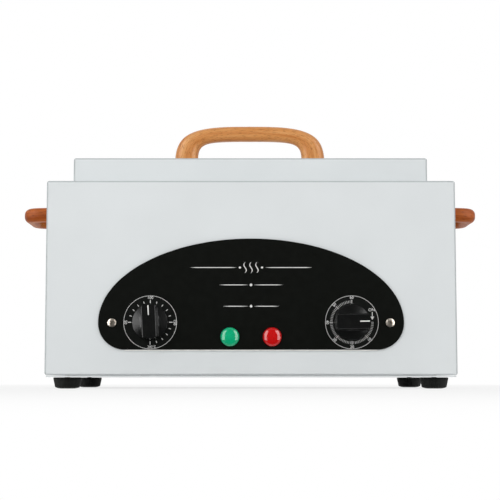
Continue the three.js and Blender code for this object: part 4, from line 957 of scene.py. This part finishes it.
# A plain warmth sign between rules fills the middle of the panel.
panelPrint = {
    "waves": 3, "pitch": 4.6, "tall": 8.4, "sway": 0.95, "line": 0.8, "tipShare": 0.3, "steps": 24,
    "rule": 0.55, "taper": 5.0, "diamond": 1.25, "smallDiamond": 1.0, "gap": 4.0, "besideDiamond": 2.4,
    "topRise": 93.7, "topReach": 47.5, "middleRise": 80.2, "middleReach": 25.0, "lowRise": 63.6,
    "lowReach": 22.0,
}


def panelMotif():
    s = panelPrint
    marks = []

    def add(outline, x, z):
        marks.append(moved(prism(outline, dial["ink"]), x, z, -dial["ink"] / 2))

    def rule(a, b, z):
        w, t = s["rule"] / 2, s["taper"]
        add([(a, 0), (a + t, -w), (b - t, -w), (b, 0), (b - t, w), (a + t, w)], 0, z)

    def diamond(x, z, size):
        add([(-size, 0), (0, -size), (size, 0), (0, size)], x, z)

    def wave(x, z):
        steps, tip = s["steps"], s["tipShare"]
        spine = [(t / steps, s["sway"] * math.sin(2 * math.pi * t / steps)) for t in range(steps + 1)]
        widths = [s["line"] / 2 * (tip + (1 - tip) * math.sin(math.pi * t)) for t, _ in spine]
        right = [(bend + w, (t - 0.5) * s["tall"]) for (t, bend), w in zip(spine, widths)]
        left = [(bend - w, (t - 0.5) * s["tall"]) for (t, bend), w in zip(spine, widths)]
        add(right + left[::-1], x, z)

    first = s["pitch"] * (s["waves"] - 1) / 2 + s["gap"]
    for i in range(s["waves"]):
        wave((i - (s["waves"] - 1) / 2) * s["pitch"], s["topRise"])
    for sign in (-1, 1):
        near, far = first + s["besideDiamond"], s["topReach"]
        rule(min(sign * near, sign * far), max(sign * near, sign * far), s["topRise"])
        diamond(sign * first, s["topRise"], s["smallDiamond"])
    for reach, z in ((s["middleReach"], s["middleRise"]), (s["lowReach"], s["lowRise"])):
        rule(-reach, -s["gap"] / 2, z)
        rule(s["gap"] / 2, reach, z)
        diamond(0, z, s["diamond"])
    printOn("panelMotif", marks, 0, 0)


panelMotif()


print("knobs")
knob = {
    "radius": 14.0, "skirt": 5.6, "height": 15.5, "topRadius": 12.9, "ridge": 11.0, "scoop": 1.1,
    "slope": 20.0, "back": -84.75, "edge": 0.45, "crest": 0.8, "topRelief": 0.25,
    "skirtSteps": 9, "scoopSteps": 12, "crestSteps": 5, "topSteps": 4, "acrossSteps": 16,
    "wallSteps": 5, "edgeAngle": 50, "markInner": 4.8, "markOuter": 12.3, "markWidth": 0.9,
    "markCorner": 0.3, "markDepth": 0.35, "markEdge": 0.08, "markSunk": 0.53,
    "thermostatTurn": -3.0, "timerTurn": 89.0,
}


# The grip runs along local Y, the height along local Z. Columns follow the profile across the grip.
def knobShape():
    s = knob
    half, base, top = s["ridge"] / 2, s["ridge"] / 2 + s["scoop"], s["height"]
    crest, relief, across, levels = s["crest"], s["topRelief"], s["acrossSteps"], s["wallSteps"]
    columns = []
    for i in range(s["skirtSteps"]):
        angle = math.pi - i * (math.pi - math.acos(-base / s["radius"])) / s["skirtSteps"]
        columns.append((s["radius"] * math.cos(angle), s["skirt"]))
    for i in range(s["scoopSteps"]):
        t = i / s["scoopSteps"]
        x = -((1 - t) ** 2 * base + 2 * t * (1 - t) * half + t ** 2 * half)
        z = (1 - t) ** 2 * s["skirt"] + 2 * t * (1 - t) * s["skirt"] + t ** 2 * (top - crest)
        columns.append((x, z))
    for i in range(s["crestSteps"] + 1):
        angle = math.pi / 2 * i / s["crestSteps"]
        columns.append((-half + crest * (1 - math.cos(angle)), top - crest * (1 - math.sin(angle))))
    for i in range(1, s["topSteps"]):
        share = i / s["topSteps"]
        columns.append(((-half + crest) * (1 - share), top - relief * math.sin(math.pi / 2 * share)))
    columns.append((0, top - relief))
    columns += [(-x, z) for x, z in reversed(columns[:-1])]

    def rim(z):
        return s["radius"] - (s["radius"] - s["topRadius"]) * z / s["height"]

    # The skirt falls away from the grip's foot as a cone; the grip itself keeps its height.
    def fallen(x, y, z):
        away = max(0.0, math.hypot(x, y) - base) if abs(x) >= base else 0.0
        return z - away * math.tan(math.radians(s["slope"]))

    bm = bmesh.new()
    topRows = []
    for x, z in columns:
        reach = math.sqrt(max(rim(z) ** 2 - x ** 2, 0))
        row = []
        for k in range(across + 1):
            y = -reach + 2 * reach * k / across
            row.append(bm.verts.new((x, y, fallen(x, y, z))))
        topRows.append(row)
    for a, b in zip(topRows, topRows[1:]):
        for k in range(across):
            bm.faces.new((a[k], b[k], b[k + 1], a[k + 1]))
    for k in (0, across):
        walls = []
        for (x, z), row in zip(columns, topRows):
            angle = math.atan2(row[k].co.y, x)
            if row[k].co.y == 0:
                angle = math.pi if x < 0 else 0.0
            line = [row[k]]
            for level in range(1, levels + 1):
                h = row[k].co.z * (1 - level / levels)
                line.append(bm.verts.new((rim(h) * math.cos(angle), rim(h) * math.sin(angle), h)))
            walls.append(line)
        for a, b in zip(walls, walls[1:]):
            for level in range(levels):
                bm.faces.new((a[level], a[level + 1], b[level + 1], b[level]))
    bmesh.ops.remove_doubles(bm, verts=bm.verts[:], dist=0.002)
    bm.edges.ensure_lookup_table()
    bmesh.ops.holes_fill(bm, edges=[e for e in bm.edges if len(e.link_faces) == 1])
    bmesh.ops.dissolve_degenerate(bm, edges=bm.edges[:], dist=0.002)
    faced(bm)
    sharp = [e for e in bm.edges
             if len(e.link_faces) == 2 and e.calc_face_angle(0) > math.radians(s["edgeAngle"])
             and min(v.co.z for v in e.verts) > 1]
    soften(bm, sharp, s["edge"], 3, clamp=True)
    return bm


def knobs():
    s = knob
    for name, way in (("thermostat", -1), ("timer", 1)):
        x, body = way * dial["x"], name + "_control"
        spin = facingFront @ Matrix.Rotation(-math.radians(s[name + "Turn"]), 4, "Z")
        shape = moved(knobShape(), x, s["back"], dial["z"], spin)
        finishPiece(name + "Knob", shape, "knob", body, [name + "_knob"], angle=40)
        outline = rectangle(s["markWidth"], s["markOuter"] - s["markInner"], s["markCorner"], 3)
        mark = prism(outline, s["markDepth"], s["markEdge"], 2)
        moved(mark, 0, (s["markInner"] + s["markOuter"]) / 2, s["height"] - s["markSunk"])
        moved(mark, x, s["back"], dial["z"], spin)
        finishPiece(name + "Pointer", mark, "mark", body, weigh=False)


knobs()


print("lamps")
lamp = {
    "x": 16.3, "z": 39.9, "y": -84.45, "radius": 7.35, "collar": 1.0, "height": 5.4, "stem": 5.0,
    "stemLength": 5, "edge": 0.15, "domeSteps": 12, "steps": 64,
}


def lamps():
    s = lamp
    profile = [(0, -s["stemLength"]), (s["stem"], -s["stemLength"]), (s["stem"], 0),
               (s["radius"] - s["edge"], 0), (s["radius"], s["edge"]), (s["radius"], s["collar"])]
    for i in range(1, s["domeSteps"] + 1):
        angle = math.pi / 2 * i / s["domeSteps"]
        profile.append((s["radius"] * math.cos(angle) if i < s["domeSteps"] else 0,
                        s["collar"] + (s["height"] - s["collar"]) * math.sin(angle)))
    for colour, x in (("green", -s["x"]), ("red", s["x"])):
        shape = moved(turned(profile, s["steps"]), x, s["y"], s["z"], facingFront)
        finishPiece(colour + "LampLens", shape, colour, "housing",
                    ["lamp_lens_" + colour], weigh=False)


lamps()


print("lid")
# The lid's box is drawn deeper by so much and then cut off at the rim, which leaves it open.
lid = {"sheet": 1.0, "bend": 1.8, "bendSteps": 8, "deeper": 12, "cutPast": 5, "cutDown": 30}


def lidShell():
    s = lid
    low, high = box("lid_shell")
    inset, deeper = Vector((s["sheet"],) * 3), Vector((0, 0, s["deeper"]))
    outer = roundedBox(low - deeper, high, s["bend"], s["bendSteps"])
    inner = roundedBox(low + inset - deeper, high - inset, s["bend"] - s["sheet"], s["bendSteps"])
    past = s["cutPast"]
    below = roundedBox((low.x - past, low.y - past, low.z - s["cutDown"]),
                       (high.x + past, high.y + past, low.z), 0)
    shell = markFoldShade(carve(carve(outer, [inner]), [below]), low, high, s["bend"])
    finishPiece("lidShell", shell, "paint", "lid", ["lid_shell"])


lidShell()


print("bow handles")
bowSteps = {"leg": 4, "bend": 30, "crown": 2, "section": 7}
lidBow = {
    "length": 129.8, "reach": 38.2, "bar": 12.5, "leg": 20.0, "thickness": 16.2, "rounding": 7.8,
    "legTaper": 0.006, "start": 0.18, "crown": 0.04, "pull": 0.9, "crownPull": 0.7,
    "innerStart": 0.35, "innerCrown": 0.15, "innerPull": 0.9, "innerCrownPull": 0.85,
}
sideBow = {
    "length": 60.0, "reach": 32.0, "bar": 10.6, "leg": 12.6, "thickness": 11.8, "rounding": 4.9,
    "legTaper": 0.006, "start": 0.25, "crown": 0.46, "pull": 0.69, "crownPull": 0.69,
    "innerStart": 0.5, "innerCrown": 0.55, "innerPull": 0.4, "innerCrownPull": 0.82,
}
sideGrain = {"along": 0.31, "apart": 0.17, "across": (0.05, 0.02)}


def bezier(a, b, c, d, t):
    return a * (1 - t) ** 3 + b * 3 * t * (1 - t) ** 2 + c * 3 * t * t * (1 - t) + d * t ** 3


# Matched points of the outer and the inner edge, from the left foot to the middle of the bow.
def bowEdges(size):
    half, reach = size["length"] / 2, size["reach"]
    start, roof = reach * size["start"], reach - size["bar"]
    crown, inner = half * size["crown"], half - size["leg"]
    lift = start + (reach - start) * size["pull"]
    pull = crown + (half - crown) * size["crownPull"]
    innerStart, innerCrown = roof * size["innerStart"], inner * size["innerCrown"]
    innerLift = innerStart + (roof - innerStart) * size["innerPull"]
    innerPull = innerCrown + (inner - innerCrown) * size["innerCrownPull"]
    outerFoot = Vector((-half * (1 + size["legTaper"]), 0))
    pairs = []
    for i in range(bowSteps["leg"]):
        t = i / bowSteps["leg"]
        pairs.append((outerFoot.lerp(Vector((-half, start)), t), Vector((-inner, innerStart * t))))
    outer = [Vector(p) for p in ((-half, start), (-half, lift), (-pull, reach), (-crown, reach))]
    within = [Vector(p) for p in (
        (-inner, innerStart), (-inner, innerLift), (-innerPull, roof), (-innerCrown, roof))]
    for i in range(bowSteps["bend"]):
        t = i / bowSteps["bend"]
        pairs.append((bezier(*outer, t), bezier(*within, t)))
    for i in range(bowSteps["crown"] + 1):
        t = i / bowSteps["crown"]
        pairs.append((Vector((-crown * (1 - t), reach)), Vector((-innerCrown * (1 - t), roof))))
    return pairs


# The section is a rounded rectangle between the two edges, so the grain can run along the bow.
def bowShape(size):
    pairs = bowEdges(size)
    pairs += [(Vector((-a.x, a.y)), Vector((-b.x, b.y))) for a, b in reversed(pairs[:-1])]
    bm = bmesh.new()
    grain = bm.verts.layers.float_vector.new("grainPlace")
    rings, length, last = [], 0.0, None
    for outer, inner in pairs:
        middle = (outer + inner) / 2
        if last is not None:
            length += (middle - last).length
        last = middle
        tall = (outer - inner).length
        up = (outer - inner).normalized()
        rounding = min(size["rounding"], tall / 2 - 0.05)
        ring = []
        for point in rectangle(size["thickness"], tall, rounding, bowSteps["section"]):
            spot = middle + up * point.y
            vert = bm.verts.new((spot.x, point.x, spot.y))
            vert[grain] = Vector((length, point.y, point.x)) * 0.001
            ring.append(vert)
        rings.append(ring)
    skin(bm, rings)
    bm.faces.new(rings[0])
    bm.faces.new(rings[-1][::-1])
    return faced(bm)


def bowHandles():
    low, high = box("lid_handle")
    shape = moved(bowShape(lidBow), 0, (low.y + high.y) / 2, low.z)
    finishPiece("lidHandle", shape, "paleWood", "lid", ["lid_handle"], angle=50,
                weigh=False)
    for side, sign in (("left", -1), ("right", 1)):
        low, high = box("side_handle_" + side)
        wall = high.x if sign < 0 else low.x
        lay = Matrix(((0, 0, sign, 0), (sign, 0, 0, 0), (0, 1, 0, 0), (0, 0, 0, 1)))
        shape = bowShape(sideBow)
        # Each pull is cut from another place in the wood.
        grain = shape.verts.layers.float_vector["grainPlace"]
        for vert in shape.verts:
            vert[grain] += Vector((sideGrain["along"] + sideGrain["apart"] * sign, *sideGrain["across"]))
        moved(shape, wall, (low.y + high.y) / 2, (low.z + high.z) / 2, lay)
        finishPiece(side + "SideHandle", shape, "darkWood", "housing",
                    ["side_handle_" + side], angle=50, weigh=False)


bowHandles()


print("hinges")
hinge = {
    "x": 92.0, "y": 85.25, "z": 165.7, "length": 36.0, "radius": 3.2, "bore": 1.8, "pin": 1.5,
    "sheet": 1.2, "bodyReach": 10.5, "lidReach": 14.0, "gap": 0.3, "headRadius": 2.4,
    "headHeight": 1.2, "headTop": 0.7, "edge": 0.25, "leafEdge": 0.3, "overlap": 1,
}


# Both leaves are drawn about the pin, which runs along X.
def hinges():
    s = hinge
    r, gap, edge, half = s["radius"], s["gap"], s["edge"], s["length"] / 2
    third, top, reach = s["length"] / 6, s["sheet"] - s["radius"], s["radius"] + s["overlap"]
    alongX = Matrix.Rotation(math.pi / 2, 4, "Y")

    def knuckle(a, b):
        profile = [(s["bore"], a), (r - edge, a), (r, a + edge), (r, b - edge), (r - edge, b),
                   (s["bore"], b), (s["bore"], a)]
        return moved(turned(profile, 36), 0, 0, 0, alongX)

    for side, x in (("left", -s["x"]), ("right", s["x"])):
        parts = [roundedBox((-half, r + gap, -r), (half, s["bodyReach"], top), s["leafEdge"], 2)]
        for a, b in ((-half, -third - gap / 2), (third + gap / 2, half)):
            parts += [knuckle(a, b), roundedBox((a, 0, -r), (b, reach, top), edge, 2)]
        shape = moved(together(parts), x, s["y"], s["z"])
        finishPiece(side + "HingeBodyLeaf", shape, "zinc", "housing",
                    ["hinge_body_leaf_" + side])
        a, b = gap / 2 - third, third - gap / 2
        parts = [roundedBox((-half, -r, r + gap), (half, top, s["lidReach"]), s["leafEdge"], 2),
                 knuckle(a, b), roundedBox((a, -r, 0), (b, top, reach), edge, 2)]
        shape = moved(together(parts), x, s["y"], s["z"])
        finishPiece(side + "HingeLidLeaf", shape, "zinc", "lid",
                    ["hinge_lid_leaf_" + side])
        h, k, end = s["headRadius"], s["headHeight"], half + gap
        profile = [(0, -end - k), (h * s["headTop"], -end - k), (h, -end - k * 0.5), (h, -end),
                   (s["pin"], -end)]
        profile += [(radius, -z) for radius, z in reversed(profile)]
        shape = moved(turned(profile, 32), x, s["y"], s["z"], alongX)
        finishPiece(side + "HingePin", shape, "nickel", "housing", ["hinge_pin_" + side])


hinges()


print("power inlet")
inlet = {
    "x": -112.0, "z": 39.0, "face": 98.05, "flangeWidth": 31.5, "flangeHeight": 24.5, "flange": 2.2,
    "flangeCorner": 3.0, "flangeEdge": 0.6, "width": 27.0, "height": 19.5, "corner": 1.5,
    "depth": 20.0, "wall": 1.6, "socket": 15.0, "keyHeight": 0.3, "keyWidth": 0.62,
    "pinSpacing": 7.0, "pinWidth": 1.8, "pinHeight": 3.8, "pinLength": 12.0, "pinStep": 2.6,
    "pinEdge": 0.35, "tab": 6.0, "tabWidth": 0.8, "tabEdge": 0.15,
}


# The socket's mouth has its two lower corners cut off, so a plug goes in one way only.
def powerInlet():
    s = inlet
    flange = prism(rectangle(s["flangeWidth"], s["flangeHeight"], s["flangeCorner"]), s["flange"],
                   s["flangeEdge"])
    case = prism(rectangle(s["width"], s["height"], s["corner"]), s["depth"] + 1)
    moved(case, 0, 0, -s["depth"])
    w, h = s["width"] / 2 - s["wall"], s["height"] / 2 - s["wall"]
    key, low = w * s["keyWidth"], -h * s["keyHeight"]
    mouth = roundedOutline([(w, h, 1), (w, low, 1), (key, -h, 1), (-key, -h, 1), (-w, low, 1),
                            (-w, h, 1)], 3)
    hole = moved(prism(mouth, s["socket"] + s["flange"] + 3), 0, 0, -s["socket"])
    shape = carve(carve(flange, [case], "UNION"), [hole])
    lay = Matrix(((-1, 0, 0, 0), (0, 0, 1, 0), (0, 1, 0, 0), (0, 0, 0, 1)))
    moved(shape, s["x"], s["face"], s["z"], lay)
    finishPiece("powerInlet", shape, "socket", "housing", ["power_inlet"])
    pins = []
    for way in (-1, 0, 1):
        level = s["pinStep"] if way == 0 else -s["pinStep"] / 2
        x, w, h, t = way * s["pinSpacing"], s["pinWidth"] / 2, s["pinHeight"] / 2, s["tabWidth"] / 2
        pins.append(roundedBox((x - w, level - h, -s["socket"] - 1),
                               (x + w, level + h, s["pinLength"] - s["socket"]), s["pinEdge"], 2))
        pins.append(roundedBox((x - t, -h, -s["depth"] - s["tab"]), (x + t, h, -s["depth"] + 0.5),
                               s["tabEdge"], 1))
    shape = moved(together(pins), s["x"], s["face"], s["z"], lay)
    finishPiece("inletPins", shape, "nickel", "housing", weigh=False)


powerInlet()


print("tank, tray and liner")
# A roll rounds the edge from wall to flange, as (wider than the wall, down from the flange).
tank = {
    "y": 19.75, "top": 163.5, "floor": 91.5, "sheet": 1.0, "width": 257.0, "breadth": 92.0,
    "flangeWidth": 277.0, "flangeDepth": 112.0, "corner": 12.0, "floorBend": 4.0,
    "outerRoll": ((0.0, 0.6), (0.5, 0.15), (1.4, 0.0)), "innerRoll": ((0.6, 0.3), (0.0, 1.2)),
    "studX": 96, "studDrop": 9.1, "stud": ((0, 0), (1.7, 0), (2, 0.3), (2, 8), (0, 8)),
}


# A pan of sheet metal, from its outlines as (width, depth, corner, z): outside, then inside.
def pressedPan(levels, steps=8):
    bm = bmesh.new()
    rings = [[bm.verts.new((p.x, p.y, z)) for p in rectangle(width, depth, corner, steps)]
             for width, depth, corner, z in levels]
    skin(bm, rings)
    bm.faces.new(rings[0])
    bm.faces.new(rings[-1])
    return faced(bm)


# The levels of a floor's round edge, from the floor up or, with inward, from the wall down.
def bentFloor(width, depth, corner, floor, bend, inward, steps=5):
    rows = []
    for i in range(steps + 1):
        angle = math.pi / 2 * i / steps
        pull, rise = bend * (1 - math.sin(angle)), bend * (1 - math.cos(angle))
        if inward:
            pull, rise = rise, pull
        rows.append((width - 2 * pull, depth - 2 * pull, max(corner - pull, 0.5), floor + rise))
    return rows


def innerTank():
    s = tank
    t, corner, top, bend = s["sheet"], s["corner"], s["top"], s["floorBend"]
    outerWidth, outerDepth = s["width"] + 2 * t, s["breadth"] + 2 * t
    levels = bentFloor(outerWidth, outerDepth, corner, s["floor"] - t, bend, False)
    levels += [(outerWidth + out, outerDepth + out, corner, top - t - drop)
               for out, drop in s["outerRoll"]]
    levels += [(s["flangeWidth"], s["flangeDepth"], corner, z) for z in (top - t, top)]
    out = s["outerRoll"][-1][0]
    levels.append((outerWidth + out, outerDepth + out, corner, top))
    levels += [(s["width"] + out, s["breadth"] + out, corner - t, top - drop)
               for out, drop in s["innerRoll"]]
    levels += bentFloor(s["width"], s["breadth"], corner - t, s["floor"], bend - t, True)
    studs = [moved(turned(s["stud"], 20), x, 0, s["floor"] - s["studDrop"])
             for x in (-s["studX"], s["studX"])]
    shape = moved(together([pressedPan(levels)] + studs), 0, s["y"], 0)
    finishPiece("innerTank", shape, "stainless", "housing", ["inner_tank"])


innerTank()

# The slotted floor is a sheet of its own inside the wall. A cup is a foot under it, as (radius,
# height above the foot's end), and cupTop closes it inside the floor.
tray = {
    "width": 239.0, "breadth": 78.0, "corner": 8.0, "floor": 95.3, "height": 28.0, "sheet": 1.0,
    "rimWidth": 0.3, "rimDrop": 0.5, "wire": 1.5, "gripWidth": 38.0, "gripRise": 11.0,
    "gripSteps": 8, "foot": 3.5, "cup": ((0, 0), (1.8, 0), (2.7, 0.5), (3, 1.4)),
    "cupTop": [(3, 0.5), (0, 0.5)], "Columns": 12, "Rows": 3, "Column Pitch": 17.0, "Row Pitch": 20.0,
    "Slot Width": 3.0, "Slot Length": 13.0,
}


def instrumentTray():
    s = tray
    t, corner, floor, top = s["sheet"], s["corner"], s["floor"], s["floor"] + s["height"]
    w, b, edge, drop = s["width"], s["breadth"], s["rimWidth"], s["rimDrop"]
    v, d, inner = w - 2 * t, b - 2 * t, corner - t
    wall = pressedPan([
        (w, b, corner, floor), (w, b, corner, top - drop), (w - edge, b - edge, corner, top),
        (v + edge, d + edge, inner, top), (v, d, inner, top - drop), (v, d, inner, floor)])
    bmesh.ops.delete(wall, geom=[f for f in wall.faces if len(f.verts) > 4], context="FACES_ONLY")
    bmesh.ops.bridge_loops(wall, edges=[e for e in wall.edges if len(e.link_faces) == 1])
    faced(wall)
    sheet = slotted(dict(s, Corner=corner - t / 2, Sheet=t), "stainless", w - t, b - t)
    parts = [wall, moved(sheet, 0, 0, floor)]
    cup = [(radius, z - s["foot"]) for radius, z in s["cup"]] + s["cupTop"]
    half, bend = s["gripWidth"] / 2, s["gripRise"] / 2
    for x in (-1, 1):
        parts += [moved(turned(cup, 28), x * (w / 2 - corner), y * (b / 2 - corner), floor)
                  for y in (-1, 1)]
        place = x * (w / 2 - t / 2)
        route = [(place, -half, top - s["gripRise"])]
        for i in range(s["gripSteps"] + 1):
            a = math.pi / 2 * i / s["gripSteps"]
            route.append((place, -half + bend * (1 - math.cos(a)),
                          top + s["gripRise"] - bend * (1 - math.sin(a))))
        route += [(place, -y, z) for _, y, z in reversed(route)]
        parts.append(bar(route, s["wire"], 14))
    shape = moved(together(parts), 0, tank["y"], 0)
    finishPiece("instrumentTray", shape, "stainless", "tray", ["instrument_tray"])


instrumentTray()

# Rolls as for the tank. rimTurn is (narrower than the rim, up from the level).
liner = {
    "sheet": 0.8, "level": 164.9, "edge": 8.0, "plugDepth": 7.0, "plugWidth": 252.0,
    "plugBreadth": 87.0, "plugCorner": 10.0, "inset": 1.3, "outerBend": 2.5, "innerBend": 1.7,
    "outerRoll": ((0.0, 0.6), (0.6, 0.1), (1.6, 0.0)), "innerRoll": (1.0, 0.5),
    "rimCorner": 1.5, "innerRimCorner": 0.8, "rimTurn": ((0.5, 0.4), (0.0, 1.2)),
    "rimStart": 2, "rimStartCorner": 1.2, "innerTurn": 0.8, "innerRise": 1.4,
}


# The liner hangs in the lid: an upturned edge, a flat rim and a pan that fills the tank's mouth.
def lidLiner():
    s = liner
    low, high = box("lid_shell")
    w, b = high.x - low.x - 2 * s["inset"], high.y - low.y - 2 * s["inset"]
    t, z, start, turn = s["sheet"], s["level"], s["rimStart"], s["innerTurn"]
    floor, inner = z - s["plugDepth"], s["innerRimCorner"]
    pw, pb, c = s["plugWidth"], s["plugBreadth"], s["plugCorner"]
    v, d, pv, pd = w - 2 * t, b - 2 * t, pw - 2 * t, pb - 2 * t
    out, drop = s["innerRoll"]
    levels = bentFloor(pw, pb, c, floor, s["outerBend"], False)
    levels += [(pw + wide, pb + wide, c, z - down) for wide, down in s["outerRoll"]]
    levels.append((w - start, b - start, s["rimStartCorner"], z))
    levels += [(w - less, b - less, s["rimCorner"], z + rise) for less, rise in s["rimTurn"]]
    levels += [(w, b, s["rimCorner"], z + s["edge"]), (v, d, inner, z + s["edge"]),
               (v, d, inner, z + s["innerRise"]), (v - turn, d - turn, inner, z + t),
               (pv + out, pd + out, c - t, z + t), (pv, pd, c - t, z + t - drop)]
    levels += bentFloor(pv, pd, c - t, floor + t, s["innerBend"], True)
    shape = moved(pressedPan(levels), 0, (low.y + high.y) / 2, 0)
    finishPiece("lidLiner", shape, "stainless", "lid", ["lid_liner"])


lidLiner()


print("stage")
stage = {
    "floorSize": 12.0, "floorColour": "#EAEAEA", "skyFront": 0.9, "skyBack": 0.42, "frontDim": 0.06,
    "dimFrom": -0.45, "dimTo": 0.1, "fadeFrom": 0.3, "fadeTo": 0.8, "shadowCover": 0.75,
}


# The light path's outputs, and 1 for rays of the camera, of gloss or through clear bodies.
def lookedAt(tree):
    rays = addNode(tree, "ShaderNodeLightPath").outputs
    seen = calculate(tree, "MAXIMUM", rays["Is Camera Ray"], rays["Is Glossy Ray"])
    return rays, calculate(tree, "MAXIMUM", seen, rays["Is Transmission Ray"])


def studio():
    s = stage
    size, white = s["floorSize"] / 2, (1, 1, 1, 1)
    mesh = bpy.data.meshes.new("studioFloor")
    corners = [(-size, -size, 0), (size, -size, 0), (size, size, 0), (-size, size, 0)]
    mesh.from_pydata(corners, [], [(0, 1, 2, 3)])
    floor = bpy.data.objects.new("studioFloor", mesh)
    scene.collection.objects.link(floor)
    material, tree, place = newSurface(
        "paleFloorCard", Base_Color=linear(s["floorColour"]), Roughness=0.9, Specular_IOR_Level=0.0)
    # The card shows through by a quarter round the object and fades into white further out.
    away = addNode(tree, "ShaderNodeVectorMath", {"operation": "LENGTH"}, {0: place}).outputs["Value"]
    fade = spanned(tree, away, (s["fadeFrom"], s["fadeTo"]), (s["shadowCover"], 1.0), "SMOOTHSTEP")
    card = tree.nodes["Principled BSDF"].outputs[0]
    glow = addNode(tree, "ShaderNodeEmission", {}, {"Color": white, "Strength": 1.0}).outputs[0]
    blend = addNode(tree, "ShaderNodeMixShader", {}, {
        0: times(tree, fade, lookedAt(tree)[1]), 1: card, 2: glow})
    tree.links.new(blend.outputs[0], tree.nodes["Material Output"].inputs["Surface"])
    mesh.materials.append(material)
    floor.visible_glossy = False  # gloss looks through it into the world, which is as white there

    world = bpy.data.worlds.new("studioWhite")
    scene.world = world
    world.use_nodes = True
    tree = world.node_tree
    tree.nodes.clear()
    rays, seen = lookedAt(tree)
    # Gloss sees a white room whose front side, where the photographer stands, is dim.
    way = addNode(tree, "ShaderNodeSeparateXYZ", {}, {
        "Vector": addNode(tree, "ShaderNodeTexCoord").outputs["Generated"]}).outputs["Y"]
    room = spanned(tree, way, (s["dimFrom"], s["dimTo"]), (s["frontDim"], 1.0), "SMOOTHSTEP")
    strength = calculate(tree, "MAXIMUM", room, rays["Is Camera Ray"])
    sky = spanned(tree, way, (-1.0, 1.0), (s["skyFront"], s["skyBack"]))
    lit, shown = [addNode(tree, "ShaderNodeBackground", {}, {
        "Color": white, "Strength": light}).outputs[0] for light in (sky, strength)]
    mix = addNode(tree, "ShaderNodeMixShader", {}, {0: seen, 1: lit, 2: shown})
    addNode(tree, "ShaderNodeOutputWorld", {}, {"Surface": mix.outputs[0]})


studio()

# Soft boxes round the object: degrees from the front and above the floor, metres, watts. Those
# with a gloss of True are bright cards that show in gloss alone, the others give the light.
# All point at the object's middle, lookHeight above the floor.
softBoxes = {
    "keyFront": {"side": -10, "rise": 12, "far": 1.9, "size": (1.8, 0.9), "power": 9.4, "gloss": False},
    "backFill": {"side": 180, "rise": 40, "far": 2.2, "size": (1.6, 1.0), "power": 10.5, "gloss": False},
    "cardLeft": {"side": -62, "rise": 13, "far": 1.3, "size": (0.95, 2.1), "power": 33.0, "gloss": True},
    "cardRight": {"side": 62, "rise": 13, "far": 1.3, "size": (0.95, 2.1), "power": 33.0, "gloss": True},
}
lookHeight = 0.09


def lights():
    for name, s in softBoxes.items():
        data = bpy.data.lights.new(name, "AREA")
        data.shape = "RECTANGLE"
        data.size, data.size_y = s["size"]
        data.energy = s["power"]
        obj = bpy.data.objects.new(name, data)
        side, rise = math.radians(s["side"]), math.radians(s["rise"])
        way = Vector((math.sin(side) * math.cos(rise), -math.cos(side) * math.cos(rise), math.sin(rise)))
        obj.location = way * s["far"] + Vector((0, 0, lookHeight))
        obj.rotation_euler = (-way).to_track_quat("-Z", "Y").to_euler()
        obj.visible_diffuse = not s["gloss"]
        obj.visible_glossy = s["gloss"]
        scene.collection.objects.link(obj)


lights()

# The camera stands low, 9 mm left of the middle, and looks up a little, as in the photograph.
camera = {
    "place": (-0.009, -1.01025, 0.0079), "lookUp": 4.8, "lens": 86.26, "sensor": 36,
    "shiftX": 0.0212, "shiftY": 0.0557,
}


def photoCamera():
    s = camera
    data = bpy.data.cameras.new("photoCamera")
    data.lens = s["lens"]
    data.sensor_width = s["sensor"]
    data.shift_x, data.shift_y = s["shiftX"], s["shiftY"]
    obj = bpy.data.objects.new("photoCamera", data)
    obj.location = s["place"]
    obj.rotation_euler = (math.radians(90 + s["lookUp"]), 0, 0)
    scene.collection.objects.link(obj)
    scene.camera = obj


photoCamera()
scene.view_settings.view_transform = "Standard"
